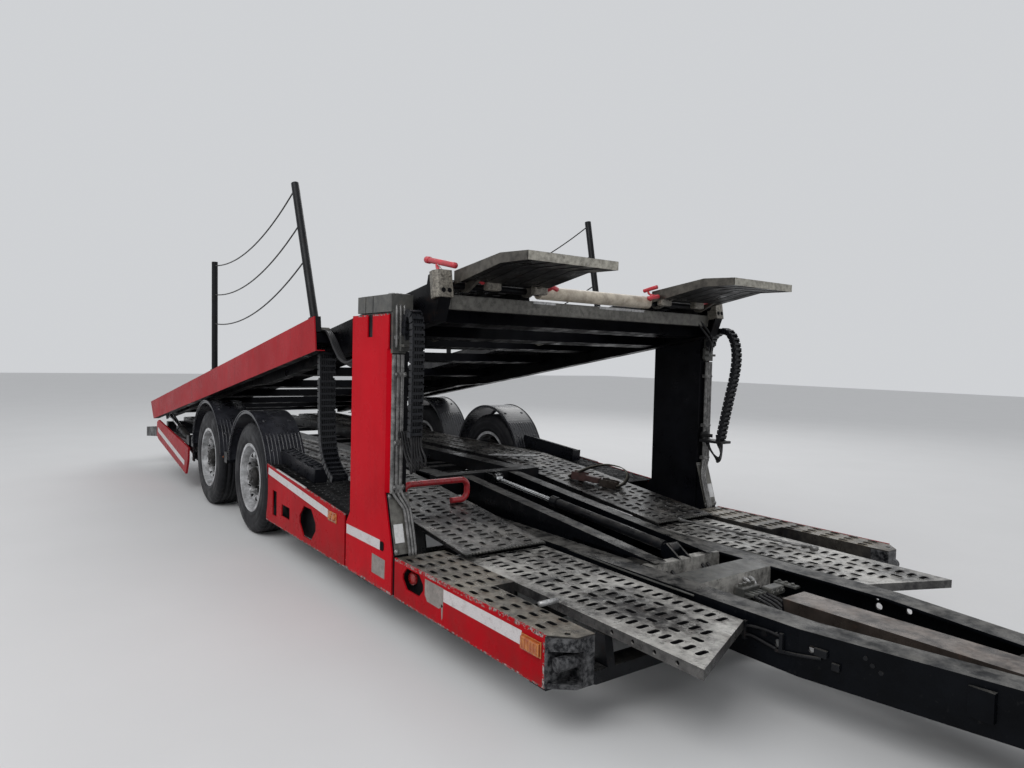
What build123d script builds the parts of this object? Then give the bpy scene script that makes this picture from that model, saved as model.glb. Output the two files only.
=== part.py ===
from build123d import *
from math import atan, cos, degrees, radians, sin
import os

os.makedirs("parts", exist_ok=True)

# Millimetres. X runs forward to the towing eye, Y to the left, Z up; the floor is Z = 0.

# overall
HALF_W = 1275            # half the width over the side skirts
SKIN = 8                 # sheet of skirts and panels
INNER_W = HALF_W - SKIN
GAP = 6                  # clearance between moving and fixed pieces
SHEET = 6                # sheet of tracks, platforms and mudguards
RUN = 0.1                # radial running clearance

# wheels and axles
TYRE_R, TYRE_W = 433, 260
TYRE_Y = 1132            # middle of a tyre
RIM_R, RIM_FLANGE_R, RIM_WEB_R = 252, 268, 236
HAND_HOLE_R, HAND_HOLE_CIRCLE, HAND_HOLES = 26, 172, 10
BORE_R = 74
AXLE_R, SPINDLE_R = 63, 50
DRUM_R, DRUM_Y0, DRUM_Y1 = 190, 985, 1050
AXLE_XS = {"front": -609, "rear": -1889}
ARM_Y0, ARM_Y1 = 628, 692
SPRING_Y, SPRING_BACK, SPRING_R, SPRING_Z0 = 560, 262, 78, 400
HANGER_AHEAD = 399       # from an axle forward to the middle of its hanger

# ladder rails, and the cross-members welded under them
RAIL_Y0, RAIL_Y1 = 270, 400
RAIL_Z0, RAIL_Z1 = 505, 590
RAIL_X0, RAIL_X1 = -4300, 800
RAIL_WALL = 10
MEMBER_Z0 = 465
BEAM_X0, BEAM_X1, BEAM_Z1 = 800, 900, 598
LOW_Z0, LOW_Z1 = 150, 204
LOW_END_Y0, LOW_END_Y1, LOW_END = 1010, 1150, 14        # where the ends thin out, and to what
LOW_MEMBERS = [(1180, 1260), (1440, 1740), (2380, 2480), (3020, 3120)]   # x from, x to

# sloping inner rails
INNER_Y0, INNER_Y1 = 160, 245
INNER_TIP = (2713, 414)
INNER_DEEP_X, INNER_UNDER_Z = 2090, 411

# lower tracks, flanges turned down
TRACK_Y0, TRACK_Y1 = 450, 970
TRACK_FLANGE = 50
TRACK_LINE = [(2100, 414), (950, 545), (300, 606), (-4250, 606)]
TRACK_SEAT = TRACK_LINE[-1][1] - TRACK_FLANGE
TRACK_NOSE = 14          # flange left at the front end
TRACK_ARM_Z = 446        # top of the plates that carry the sloping part
MEMBERS = [(-80, 10, INNER_W), (-260, -160, TRACK_Y1), (-921, -821, TRACK_Y1), (-1290, -1210, INNER_W),
           (-1540, -1440, TRACK_Y1), (-2201, -2101, TRACK_Y1), (-2500, -2420, INNER_W),
           (-2700, -2600, INNER_W), (-3500, -3420, TRACK_Y1), (-4300, -4220, 1150)]   # x from, x to, reach

# drawbar
BAR_X0, BAR_KINK_X, BAR_X1 = 300, 3600, 4790
BAR_Z0, BAR_Z1 = 213, 400
BAR_WEB, BAR_FLANGE = 10, 12
BAR_LAP = 30             # how far the beams run into the tube at the front end
TUBE_HALF, TUBE_X0, TUBE_Z0, TUBE_Z1 = 85, 3320, 213, 385
TIES = [(2648, 2700, 300), (2856, 3016, 300)]       # x from, x to, lower edge of the ties between the beams
STRAP_Z0 = LOW_Z1 + 26 + 2 * GAP
CROSS_STRAPS = [(3290, RAIL_Y0 + 4), (3900, 240)]       # x and half width of the low straps
BAR_HOLES = [(3501, 349, 8), (3510, 315, 16), (3649, 336, 14)]       # x, z, radius
EYE_X, EYE_Z = 5001, 306
EYE_R, EYE_BORE_R, EYE_H = 62, 29, 50
JACK_X, JACK_Y, JACK_PIN_Z = 4200, 310, 330
JACK_OFF = 16            # from the bracket to the tube
JACK_TUBE, JACK_PIN_R = 60, 14

# front tracks, drawn level and then tipped down to the front
SLOPE = degrees(atan(0.0107))
FRONT_TRACK_X0, FRONT_TRACK_TOP = 2060, 384
FRONT_TRACK_Y0, FRONT_TRACK_Y1 = 432, 950
FRONT_TRACK_INNER_X, FRONT_TRACK_OUTER_X = 3370, 3588
FRONT_TRACK_FLANGE = 40
FRONT_TRACK_HOLES = [3136, 3249, 3360, 3470]

# anti-slip slots, in rows along a track
SLOT_PITCH = 58.5
ACROSS_SLOT = (54, 20)   # long way across the track
ALONG_SLOT = (46, 21)    # long way along the track
ROW_PITCH = 85
PLATFORM_SLOT, PLATFORM_PITCH, PLATFORM_ROW = (44, 18), 116, 57

# side platforms and skirts
PLATFORM_Z = 400
PLATFORM_X0, PLATFORM_STEP_X, PLATFORM_X1 = 1912, 2537, 3200
PLATFORM_WIDE_Y0, PLATFORM_Y0 = 985, 1100
PLATFORM_FLANGE = 90
END_CUT = 82             # corner cut off the platform end
END_BOX_X0 = 3100
ROLLER_R, ROLLER_Z = 27, 300
SKIRT_Z0 = 200
REAR_SKIRT = [(-120, SKIRT_Z0), (1287, SKIRT_Z0), (1287, 504), (-120, 610)]
FRONT_SKIRT_X1 = 3118
REAR_WINDOW = (702, 336, 284, 198, 76)      # middle x and z, length, height, corner cut
FRONT_WINDOW = (2103, 328, 206, 106, 40)

# posts, guides and masts
POST_X0, POST_X1 = 1375, 1800
POST_Y0 = 1160
POST_Z1 = 1632
POST_WALL = 12
POST_CORNER = 16         # cut off the front outer corner
COVER_Z0, COVER_Z1 = 712, 1452          # height over which the cover bends round the corner
COVER_X1 = 1786
COVER_STRIP = [(COVER_X1 - 6, INNER_W), (COVER_X1 + 1, HALF_W), (1806, 1256), (1800, 1251), (1784, INNER_W)]
MAST_Z0 = 420
HEAD_X0, HEAD_X1 = 1425, 1828
HEAD_Z0, HEAD_Z1 = 1642, 1731
GUIDE_R, GUIDE_X = 11, 1822
GUIDE_YS = [1206, 1229, 1252]
GUIDE_Z0, GUIDE_Z1 = 712, 1424
CLAMP_ZS = [730, 960, 1310]
CLAMP_Y0, CLAMP_Y1, CLAMP_H = 1190, 1250, 24
LEG_X0, LEG_Y0, LEG_Y1 = 1806, 1190, 1264
PIN_X, PIN_Z, PIN_R = 1655, 1688, 30
COVER = [(1308, SKIRT_Z0), (1308, 467), (1358, 533), (1358, POST_Z1), (1550, POST_Z1), (1550, 1513),
         (1613, 1513),
         (1613, POST_Z1), (1800, POST_Z1), (1800, COVER_Z1), (COVER_X1, COVER_Z1), (COVER_X1, COVER_Z0),
         (1878, 408), (1878, SKIRT_Z0)]

# mudguards
GUARD_R = 522
GUARD_Y0, GUARD_Y1 = 984, 1276
GUARD_LIP = 22
GUARD_END = 8            # degrees above level where the band ends

# wheel stop on the right track
STOP_X, STOP_Y0, STOP_Y1 = 1330, -925, -476
STOP_Z1, STOP_R = 648, 19
STOP_CURL = 115          # length of the end that curls back under the bar

# drawbar ram
RAM_PIN = (2600, 430)
RAM_EYE = (985, 562)
RAM_R, RAM_ROD_R, RAM_BARREL_L = 28, 15, 1000
RAM_EAR_Y0, RAM_EAR_Y1 = 32, 44
RAM_PIN_R = 20
LOOSE_PIN_R = 13         # pin in the wide eye of a rod

# upper deck, drawn along its own slope with the pin as origin: u along, w up
DECK_ANGLE = degrees(atan(0.1636))
U_REAR, U_FRONT = -6300, -880
PANEL_W0, PANEL_W1 = -106, 106
PANEL_RAKE = 138
GIRDER_Y0, GIRDER_Y1, GIRDER_WALL = 1040, 1110, 10
GIRDER = [(-6120, 60), (-6120, -100), (-2900, -100), (-2400, -140), (300, -140), (370, -20), (370, 104),
          (270, 104), (250, 60)]
DECK_MEMBER_W0, DECK_MEMBER_W1 = -56, 10
DECK_TRACK_Y0, DECK_TRACK_Y1 = 450, 1000
DECK_TRACK_W = 95
MEMBER_US = [-6048, -5600, -5000, -4200, -3400, -2500, -1600, -960]
LOW_MEMBER_US = [-250, 160]
# side: u of each foot and its lean along u
POLES = {1: [(-966, -40), (-3430, 130)], -1: [(-966, -238), (-3430, 130)]}
POLE_Y, POLE_W1, POLE_R = 1238, 1080, 26
ROPE_WS = [1040, 780, 520]
ROPE_SAG, ROPE_R = 130, 5

# upper deck front tips
TIP_Y0, TIP_Y1 = 452, 1004
TIP_PIN_X, TIP_PIN_Z = 1961, 1788
TIP_TOP = [(1984, 1857), (2388, 1910), (2604, 1900)]
TIP_BOTTOM = [(2604, 1858), (2388, 1862), (1984, 1788)]
TIP_LUG = [(1961, 1822), (1988, 1854), (2120, 1870), (2120, 1818), (1985, 1754), (1961, 1754)]
TUBE_R, SHAFT_R, LUG_R = 38, 20, 34
CROSSBAR_X0, CROSSBAR_X1 = 1900, 1958
CROSSBAR_Z0, CROSSBAR_Z1 = 1664, 1736

# upper deck rams
DECK_RAM_Y = 1150
DECK_RAM_BASE = (-2650, 330)
DECK_RAM_EYE = (-4000, 652)
DECK_RAM_R, DECK_RAM_ROD_R, DECK_RAM_BARREL_L = 45, 26, 900

# tail
TAIL_Y0, TAIL_Y1 = 1150, 1240
TAIL_X0, TAIL_X1 = -5050, -4180
TAIL_BEAM_H, TAIL_DROP = 118, 84


def box(x0, x1, y0, y1, z0, z1):
    """Block between six limits."""
    return Pos((x0 + x1) / 2, (y0 + y1) / 2, (z0 + z1) / 2) * Box(x1 - x0, y1 - y0, z1 - z0)


def side_plate(points, y0, y1):
    """Plate with an outline in X and Z, between two Y values."""
    plane = Plane(origin=(0, y1, 0), x_dir=(1, 0, 0), z_dir=(0, -1, 0))
    return extrude(plane * make_face(Polyline(*points, close=True)), amount=y1 - y0)


def cross_plate(points, x0, x1):
    """Plate with an outline in Y and Z, between two X values."""
    plane = Plane(origin=(x0, 0, 0), x_dir=(0, 1, 0), z_dir=(1, 0, 0))
    return extrude(plane * make_face(Polyline(*points, close=True)), amount=x1 - x0)


def flat_plate(points, z0, z1):
    """Plate with an outline in X and Y, between two heights."""
    return extrude(Pos(0, 0, z0) * make_face(Polyline(*points, close=True)), amount=z1 - z0)


def bar_y(x, z, y0, y1, radius):
    """Round bar along Y."""
    return Pos(x, (y0 + y1) / 2, z) * Rot(90, 0, 0) * Cylinder(radius, y1 - y0)


def bar_z(x, y, z0, z1, radius):
    """Upright round bar."""
    return Pos(x, y, (z0 + z1) / 2) * Cylinder(radius, z1 - z0)


def rod_between(p0, p1, radius):
    """Round bar between two points."""
    return sweep(Plane(origin=p0, z_dir=Vector(*p1) - Vector(*p0)) * Circle(radius), path=Line(p0, p1))


def mirrored(shape):
    """The same shape on the right side."""
    return mirror(shape, about=Plane.XZ)


def both(shape):
    """The solids of a shape and their mirror images on the right side."""
    return list(shape.solids()) + list(mirrored(shape).solids())


def on_deck(shape):
    """Moves a shape drawn along the upper deck to its place."""
    return Location((PIN_X, 0, PIN_Z), (0, -DECK_ANGLE, 0)) * shape


def on_slope(shape, x, z):
    """Tips a level shape down to the front about a line along Y."""
    return Location((x, 0, z), (0, SLOPE, 0)) * Pos(-x, 0, -z) * shape


def long_octagon(window, y0, y1):
    """Block with the outline of an eight-sided opening."""
    x, z, length, height, cut = window
    a, b = length / 2, height / 2
    outline = [(x - a, z - b + cut), (x - a + cut, z - b), (x + a - cut, z - b), (x + a, z - b + cut),
               (x + a, z + b - cut), (x + a - cut, z + b), (x - a + cut, z + b), (x - a, z + b - cut)]
    return side_plate(outline, y0, y1)


def folded_track(line, y0, y1, t, flange, nose):
    """Channel-shaped track following a line in X and Z, flanges turned down, shallower at the first point."""
    low = [(x, z - t) for x, z in reversed(line)]
    deep = [(x, z - flange) for x, z in reversed(line[1:])] + [(line[0][0], line[0][1] - nose)]
    top = side_plate(line + low, y0, y1)
    return top + side_plate(line + deep, y0, y0 + t) + side_plate(line + deep, y1 - t, y1)


def save(name, solids):
    """Writes one node."""
    flat = []
    for item in solids if isinstance(solids, list) else [solids]:
        flat += list(item.solids())
    body = flat[0] if len(flat) == 1 else Compound(children=flat)
    export_step(body, os.path.join("parts", name + ".step"))


# wheels

def rim():
    """Steel wheel: drop-centre barrel, dished disc with hand holes, hub."""
    half = TYRE_W / 2 - 12
    barrel_outline = [(RIM_FLANGE_R, half), (RIM_FLANGE_R, half - 10), (RIM_R, half - 16), (RIM_R - 14, 0),
                      (RIM_R, -half + 16), (RIM_FLANGE_R, -half + 10), (RIM_FLANGE_R, -half),
                      (RIM_R - 8, -half), (RIM_R - 26, 0), (RIM_R - 8, half)]
    disc_outline = [(BORE_R - 2, 30), (138, 30), (186, 12), (RIM_WEB_R, -14), (RIM_WEB_R, -26), (182, 0),
                    (134, 18), (BORE_R - 2, 18)]
    barrel = revolve(Plane.XZ * make_face(Polyline(*barrel_outline, close=True)), axis=Axis.Z)
    disc = revolve(Plane.XZ * make_face(Polyline(*disc_outline, close=True)), axis=Axis.Z)
    holes = [loc * Cylinder(HAND_HOLE_R, 90) for loc in PolarLocations(HAND_HOLE_CIRCLE, HAND_HOLES)]
    hub = Cylinder(BORE_R, 140) - Pos(0, 0, -12) * Cylinder(SPINDLE_R + RUN, 120)
    return Rot(-90, 0, 0) * (barrel + (disc - holes) + hub)


def tyre():
    """Tyre section with bulged walls and rounded shoulders, seated on the rim."""
    half = TYRE_W / 2
    seat = RIM_FLANGE_R + 1
    wall = ThreePointArc((seat, half - 14), (340, half), (TYRE_R - 22, half - 16))
    shoulder = ThreePointArc((TYRE_R - 22, half - 16), (TYRE_R - 6, half - 24), (TYRE_R, half - 42))
    outer = [wall, shoulder, Line((TYRE_R, half - 42), (TYRE_R, 0)), Line((TYRE_R, 0), (seat, 0)),
             Line((seat, 0), (seat, half - 14))]
    face = Plane.XZ * make_face(outer)
    half_tyre = revolve(face, axis=Axis.Z)
    return Rot(-90, 0, 0) * (half_tyre + mirror(half_tyre, about=Plane.XY))


for end, axle_x in AXLE_XS.items():
    for side, turn, y in (("left", 0, TYRE_Y), ("right", 180, -TYRE_Y)):
        place = Pos(axle_x, y, TYRE_R) * Rot(0, 0, turn)
        save(f"{end}_{side}_rim", place * rim())
        save(f"{end}_{side}_tyre", place * tyre())

# axles, trailing arms and air springs

axles, arms, springs = [], [], []
for axle_x in AXLE_XS.values():
    beam = bar_y(axle_x, TYRE_R, -DRUM_Y0, DRUM_Y0, AXLE_R)
    spindles = bar_y(axle_x, TYRE_R, -(TYRE_Y - 20), TYRE_Y - 20, SPINDLE_R)
    drum = bar_y(axle_x, TYRE_R, DRUM_Y0, DRUM_Y1, DRUM_R)
    axles.append(beam + spindles + drum + mirrored(drum))
    arm = side_plate([(axle_x + HANGER_AHEAD, 306), (axle_x + HANGER_AHEAD, 374), (axle_x + 90, 368),
                      (axle_x - 90, 368),
                      (axle_x - 340, 392), (axle_x - 340, 342), (axle_x - 90, 290), (axle_x + 90, 290)],
                     ARM_Y0, ARM_Y1)
    arm += bar_y(axle_x + HANGER_AHEAD, 340, ARM_Y0, ARM_Y1, 34)
    arm += box(axle_x - SPRING_BACK - 78, axle_x - SPRING_BACK + 78, 480, ARM_Y1, 385, SPRING_Z0)
    arms += both(arm - bar_y(axle_x, TYRE_R, ARM_Y0 - 1, ARM_Y1 + 1, AXLE_R + 0.3))
    middle, half = (SPRING_Z0 + MEMBER_Z0) / 2, (MEMBER_Z0 - SPRING_Z0) / 2
    lobe = [Line((0, middle - half), (SPRING_R - 12, middle - half)),
            ThreePointArc((SPRING_R - 12, middle - half), (SPRING_R, middle - half / 2),
                          (SPRING_R - 12, middle)),
            ThreePointArc((SPRING_R - 12, middle), (SPRING_R, middle + half / 2),
                          (SPRING_R - 12, middle + half)),
            Line((SPRING_R - 12, middle + half), (0, middle + half)),
            Line((0, middle + half), (0, middle - half))]
    springs += both(Pos(axle_x - SPRING_BACK, SPRING_Y, 0) * revolve(Plane.XZ * make_face(lobe), axis=Axis.Z))
save("axles", axles)
save("suspension_arms", arms)
save("air_springs", springs)

# ladder rails: channels, open outwards

rail = box(RAIL_X0, RAIL_X1, RAIL_Y0, RAIL_Y1, RAIL_Z0, RAIL_Z1)
rail -= box(RAIL_X0 - 1, RAIL_X1 - RAIL_WALL, RAIL_Y0 + RAIL_WALL, RAIL_Y1 + 1, RAIL_Z0 + RAIL_WALL,
            RAIL_Z1 - RAIL_WALL)
save("ladder_rails", both(rail))

# sloping inner rails: two webs, a sloping top and a foot along the low cross-members

tip_x, tip_z = INNER_TIP
top_slope = (BEAM_Z1 - 10 - tip_z) / (tip_x - BEAM_X1)
outline = [(tip_x, tip_z), (BEAM_X1, BEAM_Z1 - 10), (BEAM_X1, LOW_Z1), (LOW_MEMBERS[-1][1], LOW_Z1),
           (LOW_MEMBERS[-1][1], LOW_Z1 + 26), (INNER_DEEP_X, LOW_Z1 + 26), (INNER_DEEP_X, INNER_UNDER_Z),
           (tip_x - 23, INNER_UNDER_Z)]
core = [(INNER_DEEP_X - 20, tip_z + top_slope * (tip_x - INNER_DEEP_X + 20) - 12),
        (BEAM_X1 + 12, BEAM_Z1 - 24), (BEAM_X1 + 12, LOW_Z1 + 26), (INNER_DEEP_X - 20, LOW_Z1 + 26)]
inner_rail = side_plate(outline, INNER_Y0, INNER_Y1) - side_plate(core, INNER_Y0 + SKIN, INNER_Y1 - SKIN)
for x in (1100, 1380, 1660, 1940):
    inner_rail -= bar_y(x, 330, INNER_Y0 - 1, INNER_Y1 + 1, 46)
save("inner_rails", both(inner_rail))

# cross-members

members = []
for x0, x1, reach in MEMBERS:
    half_outline = [(reach, MEMBER_Z0), (reach, TRACK_SEAT), (RAIL_Y1, TRACK_SEAT), (RAIL_Y1, RAIL_Z0)]
    other = [(-y, z) for y, z in reversed(half_outline)]
    member = cross_plate(half_outline + other, x0, x1)
    for axle_x in AXLE_XS.values():
        pivot_x = axle_x + HANGER_AHEAD
        if x0 < pivot_x < x1:
            hanger = side_plate([(x0, MEMBER_Z0 + 5), (pivot_x - 30, 306), (pivot_x + 30, 306),
                                 (x1, MEMBER_Z0 + 5)],
                                ARM_Y1 + 8, ARM_Y1 + 20)
            hanger += bar_y(pivot_x, 340, ARM_Y1, ARM_Y1 + 8, 26)
            member += hanger + mirrored(hanger)
    base_x, base_z = DECK_RAM_BASE
    if x0 < base_x < x1:
        ear = side_plate([(x0, MEMBER_Z0 + 5), (base_x - 34, base_z - 38), (base_x + 34, base_z - 38),
                          (x1, MEMBER_Z0 + 5)],
                         DECK_RAM_Y - 64, DECK_RAM_Y - 52)
        ears = ear + Pos(0, 116, 0) * ear + bar_y(base_x, base_z, DECK_RAM_Y - 64, DECK_RAM_Y + 64, RAM_PIN_R)
        member += ears + mirrored(ears)
    members.append(member)
beam_outline = [(TRACK_Y1, MEMBER_Z0 - 10), (TRACK_Y1, 499), (TRACK_Y0 - 8, 499), (TRACK_Y0 - 8, BEAM_Z1)]
beam = cross_plate(beam_outline + [(-y, z) for y, z in reversed(beam_outline)], BEAM_X0, BEAM_X1)
eye_x, eye_z = RAM_EYE
ear = side_plate([(BEAM_X1, 500), (eye_x + 20, eye_z - 34), (eye_x + 30, eye_z + 14), (eye_x, eye_z + 32),
                  (BEAM_X1, BEAM_Z1)],
                 RAM_EAR_Y0, RAM_EAR_Y1)
beam += ear + mirrored(ear) + bar_y(eye_x, eye_z, -RAM_EAR_Y1, RAM_EAR_Y1, LOOSE_PIN_R)
members.append(beam)
pad_top = FRONT_TRACK_TOP - FRONT_TRACK_FLANGE - GAP
for x0, x1 in LOW_MEMBERS:
    low_half = [(INNER_W, LOW_Z1), (INNER_W, LOW_Z1 - LOW_END), (LOW_END_Y1, LOW_Z1 - LOW_END),
                (LOW_END_Y0, LOW_Z0)]
    member = cross_plate(low_half + [(-y, z) for y, z in reversed(low_half)], x0, x1)
    if x0 > PLATFORM_X0:
        pad_z = pad_top - 0.0107 * (x1 - FRONT_TRACK_X0)
        places = [(FRONT_TRACK_Y0, FRONT_TRACK_Y0 + 40, pad_z), (FRONT_TRACK_Y1 - 40, FRONT_TRACK_Y1, pad_z)]
        if x1 < END_BOX_X0:
            places.append((PLATFORM_Y0 + 12, PLATFORM_Y0 + 60, PLATFORM_Z - SHEET))
        for y0, y1, z1 in places:
            upright = side_plate([(x0, LOW_Z1), (x0 + 24, z1), (x1 - 24, z1), (x1, LOW_Z1)], y0, y1)
            member += upright + mirrored(upright)
    if x1 > POST_X0 and x0 < POST_X0 + 100:
        upright = side_plate([(x0, LOW_Z1), (x0 + 60, TRACK_ARM_Z), (x1 - 60, TRACK_ARM_Z), (x1, LOW_Z1)],
                             TRACK_Y1, TRACK_Y1 + SKIN)
        member += upright + mirrored(upright)
    members.append(member)
save("cross_members", members)

# lower tracks

save("lower_tracks", both(folded_track(TRACK_LINE, TRACK_Y0, TRACK_Y1, SHEET, TRACK_FLANGE, TRACK_NOSE)))


# front tracks with their slots

def slots(rows, x0, x1, pitch, size, turn):
    """Slotted holes in rows along X, as a flat sketch."""
    count = int((x1 - x0) / pitch) + 1
    return [Pos(x0 + i * pitch, y, 0) * Rot(0, 0, turn) * SlotOverall(*size)
            for y in rows for i in range(count)]


def front_track():
    """Folded and slotted plate with an oblique front edge."""
    plan = make_face(Polyline((FRONT_TRACK_X0, FRONT_TRACK_Y0), (FRONT_TRACK_INNER_X, FRONT_TRACK_Y0),
                              (FRONT_TRACK_OUTER_X, FRONT_TRACK_Y1), (FRONT_TRACK_X0, FRONT_TRACK_Y1),
                              close=True))
    first_row = (FRONT_TRACK_Y0 + FRONT_TRACK_Y1) / 2 - 12 - 2 * ROW_PITCH
    holes = []
    for row in range(5):
        y = first_row + row * ROW_PITCH
        share = (y - FRONT_TRACK_Y0) / (FRONT_TRACK_Y1 - FRONT_TRACK_Y0)
        end = FRONT_TRACK_INNER_X + share * (FRONT_TRACK_OUTER_X - FRONT_TRACK_INNER_X) - 48
        if row % 2:
            holes += slots([y], FRONT_TRACK_X0 + 60, end, 2 * SLOT_PITCH, ALONG_SLOT, 0)
        else:
            holes += slots([y], FRONT_TRACK_X0 + 32, end, SLOT_PITCH, ACROSS_SLOT, 90)
    z0 = FRONT_TRACK_TOP - FRONT_TRACK_FLANGE
    body = extrude(Pos(0, 0, z0) * plan, amount=FRONT_TRACK_FLANGE)
    inner = offset(plan, amount=-SHEET, kind=Kind.INTERSECTION)
    body -= extrude(Pos(0, 0, z0 - 1) * inner, amount=FRONT_TRACK_FLANGE - SHEET + 1)
    body -= extrude(Pos(0, 0, FRONT_TRACK_TOP - SHEET - 1) * Sketch(children=holes), amount=SHEET + 2)
    for x in FRONT_TRACK_HOLES:
        body -= bar_y(x, z0 + FRONT_TRACK_FLANGE / 2, FRONT_TRACK_Y1 - SHEET - 1, FRONT_TRACK_Y1 + 1, 9)
    return on_slope(body, FRONT_TRACK_X0, FRONT_TRACK_TOP)


save("front_track_left", front_track())
save("front_track_right", mirrored(front_track()))

# side platforms: folded and slotted plates in front, plain sloping plates behind

plan = make_face(Polyline((PLATFORM_X0, PLATFORM_WIDE_Y0), (PLATFORM_STEP_X, PLATFORM_WIDE_Y0),
                          (PLATFORM_STEP_X, PLATFORM_Y0),
                          (PLATFORM_X1, PLATFORM_Y0), (PLATFORM_X1, INNER_W - END_CUT),
                          (PLATFORM_X1 - END_CUT, INNER_W), (PLATFORM_X0, INNER_W), close=True))
row_y = INNER_W - 32
holes = slots([row_y, row_y - PLATFORM_ROW, row_y - 2 * PLATFORM_ROW], 1996, PLATFORM_X1 - 90, PLATFORM_PITCH,
              PLATFORM_SLOT, 0)
holes += slots([row_y - 3 * PLATFORM_ROW, row_y - 4 * PLATFORM_ROW], 1996, PLATFORM_STEP_X - 60,
               PLATFORM_PITCH,
               PLATFORM_SLOT, 0)
holes += [Pos(PLATFORM_X1 - 50, INNER_W - END_CUT + 8, 0) * Circle(12)]
plate_z = PLATFORM_Z - SHEET
front = extrude(Pos(0, 0, plate_z) * plan, amount=SHEET)
front -= extrude(Pos(0, 0, plate_z - 1) * Sketch(children=holes), amount=SHEET + 2)
front += box(PLATFORM_X0, PLATFORM_STEP_X, PLATFORM_WIDE_Y0, PLATFORM_WIDE_Y0 + SHEET,
             PLATFORM_Z - PLATFORM_FLANGE, plate_z)
front += box(PLATFORM_STEP_X - SHEET, PLATFORM_STEP_X, PLATFORM_WIDE_Y0, PLATFORM_Y0 + SHEET,
             PLATFORM_Z - PLATFORM_FLANGE, plate_z)
front += box(PLATFORM_STEP_X, END_BOX_X0, PLATFORM_Y0, PLATFORM_Y0 + SHEET, PLATFORM_Z - PLATFORM_FLANGE,
             plate_z)
skirt_slope = (REAR_SKIRT[2][1] - REAR_SKIRT[3][1]) / (REAR_SKIRT[2][0] - REAR_SKIRT[3][0])
rear_z = [REAR_SKIRT[3][1] + skirt_slope * (x - REAR_SKIRT[3][0]) - 5 for x in (-86, 1285)]
rear = side_plate([(-86, rear_z[0]), (1285, rear_z[1]), (1285, rear_z[1] - SHEET), (-86, rear_z[0] - SHEET)],
                  PLATFORM_WIDE_Y0, INNER_W)
save("side_platforms", both(front) + both(rear))

# side skirts with their windows

skirt = side_plate(REAR_SKIRT, INNER_W, HALF_W)
skirt -= box(19, 106, INNER_W - 1, HALF_W + 1, 260, 438)
skirt -= box(210, 372, INNER_W - 1, HALF_W + 1, 288, 370)
skirt -= long_octagon(REAR_WINDOW, INNER_W - 1, HALF_W + 1)
skirt -= bar_y(AXLE_XS["front"], TYRE_R, INNER_W - 1, HALF_W + 1, GUARD_R + 3)
front_skirt = box(PLATFORM_X0, FRONT_SKIRT_X1, INNER_W, HALF_W, SKIRT_Z0, PLATFORM_Z + 2)
front_skirt -= long_octagon(FRONT_WINDOW, INNER_W - 1, HALF_W + 1)
save("side_skirts", both(skirt) + both(front_skirt))

# platform end boxes: cut corner, rope roller in a recess

end_box = flat_plate([(END_BOX_X0, PLATFORM_Y0), (PLATFORM_X1, PLATFORM_Y0), (PLATFORM_X1, INNER_W - END_CUT),
                      (PLATFORM_X1 - END_CUT + SKIN, HALF_W), (FRONT_SKIRT_X1, HALF_W),
                      (FRONT_SKIRT_X1, INNER_W), (END_BOX_X0, INNER_W)], LOW_Z1, PLATFORM_Z - SHEET)
end_box -= box(PLATFORM_X1 - 70, PLATFORM_X1 + 1, PLATFORM_Y0 + 54, HALF_W + 1, LOW_Z1 + 20, ROLLER_Z + 44)
end_box += bar_y(PLATFORM_X1 - 38, ROLLER_Z, PLATFORM_Y0 + 50, HALF_W - 22, ROLLER_R)
save("platform_end_boxes", both(end_box))

# posts, covers, guides and masts

post = box(POST_X0, POST_X1, POST_Y0, INNER_W, LOW_Z1, POST_Z1)
post += side_plate([(1325, LOW_Z1), (1325, 470), (POST_X0, 530), (POST_X0, LOW_Z1)], POST_Y0, INNER_W)
post += side_plate([(POST_X1, LOW_Z1), (POST_X1, 702), (POST_X1 + 92, 404), (POST_X1 + 92, LOW_Z1)],
                   POST_Y0 + 10, INNER_W)
inside = (POST_X0 + POST_WALL, POST_X1 - POST_WALL, POST_Y0 + POST_WALL, INNER_W - POST_WALL)
post -= box(*inside, LOW_Z1 + 60, POST_Z1 + 1)
corner = [(POST_X1 - POST_CORNER, INNER_W), (POST_X1, INNER_W - POST_CORNER), (POST_X1 + 1, INNER_W + 1)]
post -= flat_plate(corner, COVER_Z0, COVER_Z1)
save("lift_posts", both(post))

cover = side_plate(COVER, INNER_W, HALF_W)
cover += flat_plate(COVER_STRIP, COVER_Z0, COVER_Z1)
save("post_covers", both(cover))

guides = []
for z in CLAMP_ZS:
    guides.append(box(POST_X1, GUIDE_X + GUIDE_R + 4, CLAMP_Y0, CLAMP_Y1, z, z + CLAMP_H))
for y in GUIDE_YS:
    guides.append(bar_z(GUIDE_X, y, GUIDE_Z0, GUIDE_Z1, GUIDE_R))
guide = guides[0].fuse(*guides[1:])
save("post_guides", both(guide))

mast = box(inside[0] + SKIN, inside[1] - SKIN, inside[2] + GAP, inside[3] - GAP, MAST_Z0, HEAD_Z0)
mast -= box(inside[0] + 22, inside[1] - 22, inside[2] + 18, inside[3] - 18, MAST_Z0 - 1, HEAD_Z0 - 10)
head = side_plate([(HEAD_X0, HEAD_Z0), (HEAD_X0, HEAD_Z1), (HEAD_X1, HEAD_Z1), (HEAD_X1, HEAD_Z0)],
                  POST_Y0 - 8, HALF_W)
head -= box(1520, 1528, HALF_W - 10, HALF_W + 1, HEAD_Z0 - 1, HEAD_Z1 + 1)
head -= box(1610, 1618, HALF_W - 10, HALF_W + 1, HEAD_Z0 - 1, HEAD_Z1 + 1)
leg = box(LEG_X0, HEAD_X1, LEG_Y0, LEG_Y1, GUIDE_Z1 + GAP, HEAD_Z0)
pin = bar_y(PIN_X, PIN_Z, GIRDER_Y0 - 10, POST_Y0 - 8, PIN_R)
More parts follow.
